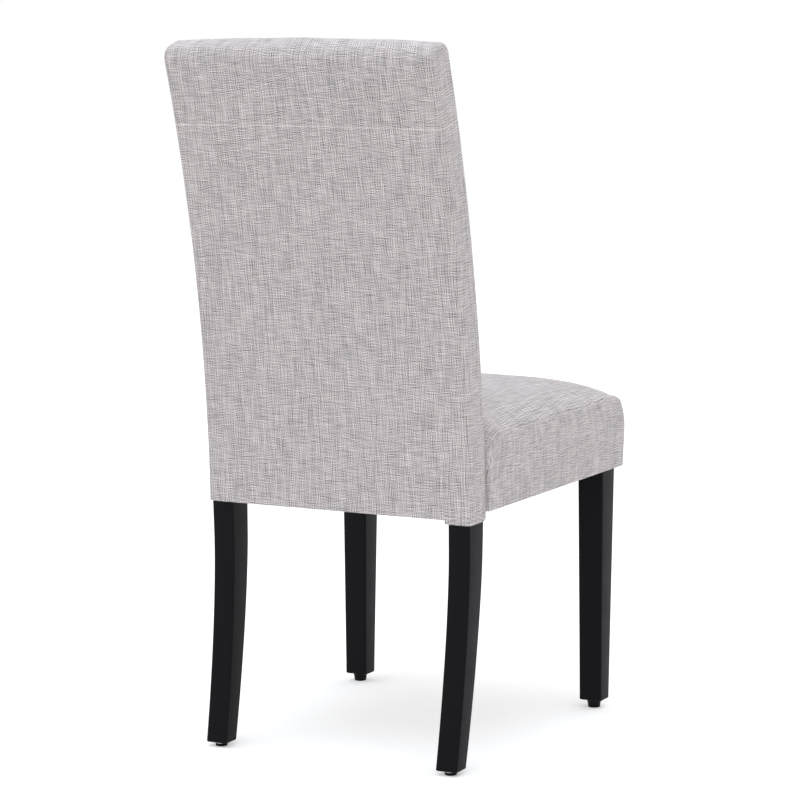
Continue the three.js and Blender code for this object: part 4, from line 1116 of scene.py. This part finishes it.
# %% Glides
turn_count = 48
rim_turn_count = 6
rim_turns = np.linspace(-math.pi / 2, 0, rim_turn_count)
stem_radius = 0.0025
plug_shapes = {
    "front": (0.009, 0.0012, [(0.0094, 0.0045), (0.0101, 0.0090), (0.0105, 0.0112), (0.0101, 0.0117)]),
    "rear": (0.0085, 0.0008, [(0.0085, 0.0040), (0.0082, 0.0043), (0.0082, 0.0058), (0.0079, 0.0062)]),
}


def turned(name, profile, at):
    """A closed turned piece: each radius and height of the profile goes once round the axis."""
    angle = between(0, 2 * math.pi, turn_count)
    radius, height = np.array(profile).T
    x = at[0] + radius[:, None] * np.cos(angle)
    y = at[1] + radius[:, None] * np.sin(angle)
    z = height[:, None] + 0 * x
    points = np.stack([x, y, z], axis=-1)
    piece = mesh_object(name, points, grid_faces(*points.shape[:2], wrap=True))
    shade_by_angle(piece)
    return piece


def plug_profile(label, top):
    """Radius and height of each point: from the middle of the foot over a rim that is a quarter
    circle, up the wall, in to the stem and up to its top."""
    foot_radius, rim, wall = plug_shapes[label]
    foot = [(foot_radius - rim * (1 - math.cos(t)), rim + rim * math.sin(t)) for t in rim_turns]
    return [(0, 0), *foot, *wall, (stem_radius, wall[-1][1]), (stem_radius, top), (0, top)]


glides = []
for hand in ("left", "right"):
    for label in plug_shapes:
        low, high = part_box(f"glide_{label}_{hand}")
        middle = ((low.x + high.x) / 2, (low.y + high.y) / 2)
        glide = turned(f"glide_{label}_{hand}_plug", plug_profile(label, high.z), middle)
        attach(glide, "root")
        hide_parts(f"glide_{label}_{hand}")
        glides.append(glide)
print("made", [glide.name for glide in glides])

# %% [markdown]
# A material is a small tree of nodes. One helper adds a node, fills or links its inputs and gives
# back an output, so that a formula can be written almost as it is spoken.

# %% Node helpers
def put(tree, kind, *inputs, output=0, named=None, **settings):
    """Adds a node. Inputs go in by order and named ones by name; a socket is linked, a value set."""
    node = tree.nodes.new("ShaderNode" + kind)
    for setting, value in settings.items():
        setattr(node, setting, value)
    for key, value in [*enumerate(inputs), *(named or {}).items()]:
        if isinstance(value, bpy.types.NodeSocket):
            tree.links.new(value, node.inputs[key])
        elif value is not None:
            node.inputs[key].default_value = value
    return node.outputs[output]


def object_place(tree):
    """The place on the piece in metres, which is the object's own coordinate."""
    return put(tree, "TexCoord", output=3)


def math_node(tree, operation, *values):
    """One step of arithmetic."""
    return put(tree, "Math", *values, operation=operation)


def noise(tree, place, scale, detail=2.0, dimensions="3D"):
    """Perlin noise about one half."""
    named = {"Vector": place, "Scale": scale, "Detail": detail}
    return put(tree, "TexNoise", named=named, noise_dimensions=dimensions)


def mixed(tree, share, low, high):
    """A colour between two, by the share."""
    return put(tree, "Mix", named={0: share, 6: low, 7: high}, data_type="RGBA", output=2)


def new_group(name, inputs, outputs):
    """An empty node group with the given sockets, and its input and output nodes."""
    group = bpy.data.node_groups.new(name, "ShaderNodeTree")
    for direction, sockets in (("INPUT", inputs), ("OUTPUT", outputs)):
        for label, kind in sockets:
            group.interface.new_socket(label, in_out=direction, socket_type="NodeSocket" + kind)
    return group, group.nodes.new("NodeGroupInput").outputs, group.nodes.new("NodeGroupOutput").inputs


def new_material(name, colour, roughness=0.5, **constants):
    """A material with one Principled shader, its plain values set on its own sockets."""
    material = bpy.data.materials.new(name)
    material.use_nodes = True
    shader = material.node_tree.nodes["Principled BSDF"]
    shader.inputs["Base Color"].default_value = (*colour, 1)
    shader.inputs["Roughness"].default_value = roughness
    for label, value in constants.items():
        shader.inputs[label.replace("_", " ")].default_value = value
    return material, material.node_tree, shader.inputs


def use_group(tree, group, **values):
    """Places a node group and sets or links its named inputs."""
    node = tree.nodes.new("ShaderNodeGroup")
    node.node_tree = group
    for label, value in values.items():
        if isinstance(value, bpy.types.NodeSocket):
            tree.links.new(value, node.inputs[label])
        else:
            node.inputs[label].default_value = value
    return node.outputs


def bump(tree, height, distance, strength=1.0):
    """A normal bent by a height that is given in shares of the distance."""
    return put(tree, "Bump", named={"Height": height, "Distance": distance, "Strength": strength})


# %% [markdown]
# The cloth is a plain weave of slubby yarn, light and dark threads side by side. Every thread has a
# number, its place across divided by the thread's width, and noise that is stretched along the
# thread gives it a tone that changes on its way. Part of the tone turns over from each thread to
# the next, which is what makes a weave look crisp. Warp and weft are added up, as they are when
# seen from a few steps away, and threads that pass over and under one another bend the light. One
# thick pale thread crosses the back high up, as slubby cloth has here and there.

# %% Woven cloth
thread_width = 0.00145
near_step = 0.24
far_step = 7.37
short_slub = 5.0
long_slub = 14.0
long_slub_share = 0.5
warp_stretch = 1.8
thick_thread_tone = 0.30
warp_seed, weft_seed, long_slub_seed = 0.3, 2.9, 5
patch_scale = 55.0
patch_depth = 0.06
thick_thread_half = 0.6
thread_height = 0.0002
thread_relief = 0.3


def thread_noise(tree, number, along, step, length, seed):
    """Noise about nothing, read at the thread's number times the step and the place along over the
    length."""
    jump = math_node(tree, "MULTIPLY_ADD", number, step, seed)
    slow = math_node(tree, "DIVIDE", along, length)
    tone = noise(tree, put(tree, "CombineXYZ", jump, slow), 1.0, detail=0.0, dimensions="2D")
    return math_node(tree, "SUBTRACT", tone, 0.5)


def thread_tone(tree, across, along, stretch, seed):
    """Short slubs whose tone turns over from thread to thread, and long ones that differ in each,
    both longer by the stretch."""
    number = math_node(tree, "FLOOR", across)
    turn = math_node(tree, "MULTIPLY_ADD", math_node(tree, "PINGPONG", number, 1.0), -2.0, 1.0)
    short = thread_noise(tree, number, along, near_step, short_slub * stretch, seed)
    long = thread_noise(tree, number, along, far_step, long_slub * stretch, seed + long_slub_seed)
    return math_node(tree, "MULTIPLY_ADD", short, turn, math_node(tree, "MULTIPLY", long, long_slub_share))


slub_height = 0.8845
rear_column = starts[1] + back_side_count // 2
rear_heights = sleeve_points[:last_wall_row, rear_column, 2]
slub_place = float(np.interp(slub_height, rear_heights, climbed[:last_wall_row]))


def build_woven_linen():
    """Puts the weave's formulas together: the tones of both thread sets, broad soft patches, and the
    height of round threads that dive under one another."""
    group, given, made = new_group(
        "woven_linen",
        [("Place", "Vector"), ("Colour", "Color"), ("Contrast", "Float")],
        [("Colour", "Color"), ("Height", "Float")],
    )
    split = group.nodes.new("ShaderNodeSeparateXYZ")
    group.links.new(given["Place"], split.inputs[0])
    u = math_node(group, "DIVIDE", split.outputs[0], thread_width)
    v = math_node(group, "DIVIDE", split.outputs[1], thread_width)
    warp = thread_tone(group, u, v, warp_stretch, warp_seed)
    weft = thread_tone(group, v, u, 1.0, weft_seed)
    tone = math_node(group, "ADD", warp, weft)
    wave_u = math_node(group, "SINE", math_node(group, "MULTIPLY", u, math.pi))
    wave_v = math_node(group, "SINE", math_node(group, "MULTIPLY", v, math.pi))
    parity = math_node(group, "MULTIPLY", wave_u, wave_v)
    deviation = math_node(group, "MULTIPLY", tone, given["Contrast"])
    patches = noise(group, given["Place"], patch_scale, dimensions="2D")
    patches = math_node(group, "MULTIPLY_ADD", patches, patch_depth, -patch_depth / 2)
    deviation = math_node(group, "ADD", deviation, patches)
    from_slub = math_node(group, "ABSOLUTE", math_node(group, "SUBTRACT", split.outputs[1], slub_place))
    thick_thread = math_node(group, "LESS_THAN", from_slub, thread_width * thick_thread_half)
    deviation = math_node(group, "MULTIPLY_ADD", thick_thread, thick_thread_tone, deviation)
    brightness = math_node(group, "ADD", deviation, 1.0)
    scaled = put(group, "VectorMath", given["Colour"], brightness, operation="MULTIPLY")
    group.links.new(scaled, made["Colour"])
    group.links.new(math_node(group, "ABSOLUTE", parity), made["Height"])
    return group


woven_linen = build_woven_linen()


def cloth_material(name, colour, contrast):
    """The upholstery's cloth on a piece that has the weave map."""
    material, tree, sockets = new_material(
        name, colour, 0.9, Specular_IOR_Level=0.2, Sheen_Weight=0.15, Sheen_Roughness=0.5,
    )
    place = put(tree, "UVMap", uv_map=weave_map)
    weave = use_group(tree, woven_linen, Place=place, Colour=(*colour, 1), Contrast=contrast)
    tree.links.new(weave["Colour"], sockets["Base Color"])
    tree.links.new(bump(tree, weave["Height"], thread_height, thread_relief), sockets["Normal"])
    return material


linen_colour = (0.500, 0.462, 0.457)
linen_contrast = 1.08
linen = cloth_material("grey_linen", linen_colour, linen_contrast)
for piece in (back_upholstery, seat_upholstery):
    piece.data.materials.append(linen)

# %% [markdown]
# The legs are beech under a thin black lacquer. It is nearly black, only half glossy, and the grain
# shows through as fine lines along the leg.

# %% Black lacquer
lacquer_colour = (0.0034, 0.0030, 0.0046)
lacquer_index = 1.2
line_scale, line_stretch = 900.0, 0.03
wear_scale = 40.0
glossiest, dullest = 0.38, 0.52


def build_lacquer():
    """Lines of noise stretched along the leg for the bump, and a slower one for the gloss."""
    material, tree, sockets = new_material("black_lacquer", lacquer_colour, IOR=lacquer_index)
    place = object_place(tree)
    stretched = put(tree, "Mapping", named={"Vector": place, "Scale": (1, 1, line_stretch)})
    grain = noise(tree, stretched, line_scale)
    wear = noise(tree, place, wear_scale)
    gloss = put(tree, "MapRange", named={"Value": wear, "To Min": glossiest, "To Max": dullest})
    tree.links.new(gloss, sockets["Roughness"])
    tree.links.new(bump(tree, grain, 0.0001, 0.4), sockets["Normal"])
    return material


lacquer = build_lacquer()
for leg in legs:
    leg.data.materials.append(lacquer)

# %% [markdown]
# The frame, the webbing, the padding and the fasteners are seldom seen, so their finishes are plain.
# Two effects serve them all, each built once as a node group and placed in every material with
# values of its own: the grain of a board, and the fine grain of a plastic, a metal or a coarse cloth.

# %% Two grains
board_stretch = 0.08
board_relief, fine_relief = 0.4, 0.5


def build_board_grain():
    """Noise drawn out along X, the way of the rails that run across the chair, which mixes a light and
    a dark brown."""
    group, given, made = new_group(
        "board_grain",
        [("Place", "Vector"), ("Scale", "Float"), ("Light", "Color"), ("Dark", "Color")],
        [("Colour", "Color"), ("Height", "Float")],
    )
    drawn_out = put(group, "Mapping", named={"Vector": given["Place"], "Scale": (board_stretch, 1, 1)})
    grain = noise(group, drawn_out, given["Scale"], detail=4.0)
    group.links.new(mixed(group, grain, given["Light"], given["Dark"]), made["Colour"])
    group.links.new(grain, made["Height"])
    return group


def build_fine_grain():
    """The colour times one plus the spread times noise that swings from minus one to one."""
    group, given, made = new_group(
        "fine_grain",
        [("Place", "Vector"), ("Scale", "Float"), ("Colour", "Color"), ("Spread", "Float")],
        [("Colour", "Color"), ("Height", "Float")],
    )
    grain = noise(group, given["Place"], given["Scale"], detail=3.0)
    swing = math_node(group, "MULTIPLY_ADD", grain, 2.0, -1.0)
    brightness = math_node(group, "MULTIPLY_ADD", swing, given["Spread"], 1.0)
    scaled = put(group, "VectorMath", given["Colour"], brightness, operation="MULTIPLY")
    group.links.new(scaled, made["Colour"])
    group.links.new(grain, made["Height"])
    return group


board_grain = build_board_grain()
fine_grain = build_fine_grain()
print("made the node groups", woven_linen.name, board_grain.name, "and", fine_grain.name)

# %% [markdown]
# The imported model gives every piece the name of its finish. A table under the same names holds the
# materials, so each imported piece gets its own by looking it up. The rear glides take two: their
# collar is metal, and its faces are found by their height.

# %% Hidden and small parts
def wood_material(name, light, dark, scale):
    """Bare wood with the board's grain in its colour and its relief."""
    material, tree, sockets = new_material(name, light, 0.6, Specular_IOR_Level=0.3)
    grain = use_group(
        tree, board_grain, Place=object_place(tree), Scale=scale, Light=(*light, 1), Dark=(*dark, 1),
    )
    tree.links.new(grain["Colour"], sockets["Base Color"])
    tree.links.new(bump(tree, grain["Height"], 0.0003, board_relief), sockets["Normal"])
    return material


def plain_material(name, colour, roughness, scale, spread, depth, **constants):
    """One colour with the fine grain in it and a bump of the same grain."""
    material, tree, sockets = new_material(name, colour, roughness, **constants)
    grain = use_group(
        tree, fine_grain, Place=object_place(tree), Scale=scale, Colour=(*colour, 1), Spread=spread,
    )
    tree.links.new(grain["Colour"], sockets["Base Color"])
    tree.links.new(bump(tree, grain["Height"], depth, fine_relief), sockets["Normal"])
    return material


felt_colour = (0.012, 0.012, 0.013)
plastic_colour = (0.006, 0.006, 0.007)
finishes = {
    "frame_wood": wood_material("pine", (0.56, 0.40, 0.22), (0.40, 0.25, 0.12), 160.0),
    "block_wood": wood_material("beech", (0.50, 0.33, 0.20), (0.38, 0.23, 0.13), 260.0),
    "webbing": plain_material("webbing", (0.33, 0.20, 0.08), 0.85, 900.0, 0.5, 0.0004),
    "black_felt": plain_material(
        "black_felt", felt_colour, 0.95, 1400.0, 0.5, 0.0003, Specular_IOR_Level=0.2,
    ),
    "glide_plastic": plain_material("glide_plastic", plastic_colour, 0.45, 700.0, 0.25, 0.00005, IOR=1.2),
    "zinc": plain_material("zinc", (0.62, 0.62, 0.60), 0.35, 500.0, 0.12, 0.00005, Metallic=1.0),
    "foam": plain_material("foam", (0.75, 0.70, 0.45), 0.95, 700.0, 0.2, 0.0004),
    "wadding": plain_material("wadding", (0.80, 0.80, 0.78), 0.95, 500.0, 0.1, 0.0006),
    "black_lacquer": lacquer,
    "cloth": plain_material(
        "hidden_cloth", linen_colour, 0.9, 690.0, 0.25, 0.0003, Specular_IOR_Level=0.2,
    ),
}
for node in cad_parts.values():
    for slot in node.material_slots:
        slot.material = finishes.get(slot.material.name, slot.material)
collar_low, collar_high = 0.0041, 0.0061
for glide in glides:
    glide.data.materials.append(finishes["glide_plastic"])
    if "rear" in glide.name:
        glide.data.materials.append(finishes["zinc"])
        for face in glide.data.polygons:
            face.material_index = int(collar_low < face.center.z < collar_high)
dust_cover.data.materials.append(finishes["black_felt"])
staples.data.materials.append(finishes["zinc"])
print("made", len(finishes), "finishes")

# %% [markdown]
# The chair stands on a pale floor under a wide soft lamp, like a studio shot on paper. The floor
# and the world look white to the camera and in reflections, and light the chair from all around.

# %% Floor and light
floor_colour = (0.92, 0.92, 0.92)
floor_half = 6.0
floor_glow = 0.32


def seen_rays(tree):
    """One for rays that show something to the camera or in a reflection, nothing for rays of light."""
    rays = tree.nodes.new("ShaderNodeLightPath").outputs
    seen = math_node(tree, "MAXIMUM", rays["Is Camera Ray"], rays["Is Glossy Ray"])
    return math_node(tree, "MAXIMUM", seen, rays["Is Transmission Ray"])


floor_corners = [(-1, -1), (1, -1), (1, 1), (-1, 1)]
floor_points = [(x * floor_half, y * floor_half, 0) for x, y in floor_corners]
floor = mesh_object("floor", floor_points, [(0, 1, 2, 3)])
floor_material, floor_tree, floor_sockets = new_material("paper", floor_colour, 0.9, Specular_IOR_Level=0.1)
floor_rays = seen_rays(floor_tree)
floor_sockets["Emission Color"].default_value = (1, 1, 1, 1)
glow = math_node(floor_tree, "MULTIPLY", floor_rays, floor_glow)
floor_tree.links.new(glow, floor_sockets["Emission Strength"])
floor.data.materials.append(floor_material)

sky_light = 0.90
world = bpy.data.worlds.new("studio")
bpy.context.scene.world = world
world.use_nodes = True
sky = world.node_tree
sky.nodes.clear()
strength = put(sky, "MapRange", named={"Value": seen_rays(sky), "To Min": sky_light, "To Max": 1.0})
background = put(sky, "Background", (1, 1, 1, 1), strength)
sky.links.new(background, sky.nodes.new("ShaderNodeOutputWorld").inputs["Surface"])

lamp_size = 3.0
lamp_power = 35
lamp_colour = (0.86, 0.95, 1.12)
lamp_place = (0, 0.5, 3.2)
lamp = bpy.data.objects.new("overhead lamp", bpy.data.lights.new("overhead lamp", "AREA"))
bpy.context.scene.collection.objects.link(lamp)
lamp.data.shape = "DISK"
lamp.data.size = lamp_size
lamp.data.energy = lamp_power
lamp.data.color = lamp_colour
lamp.location = lamp_place
bpy.context.scene.view_settings.view_transform = "Standard"
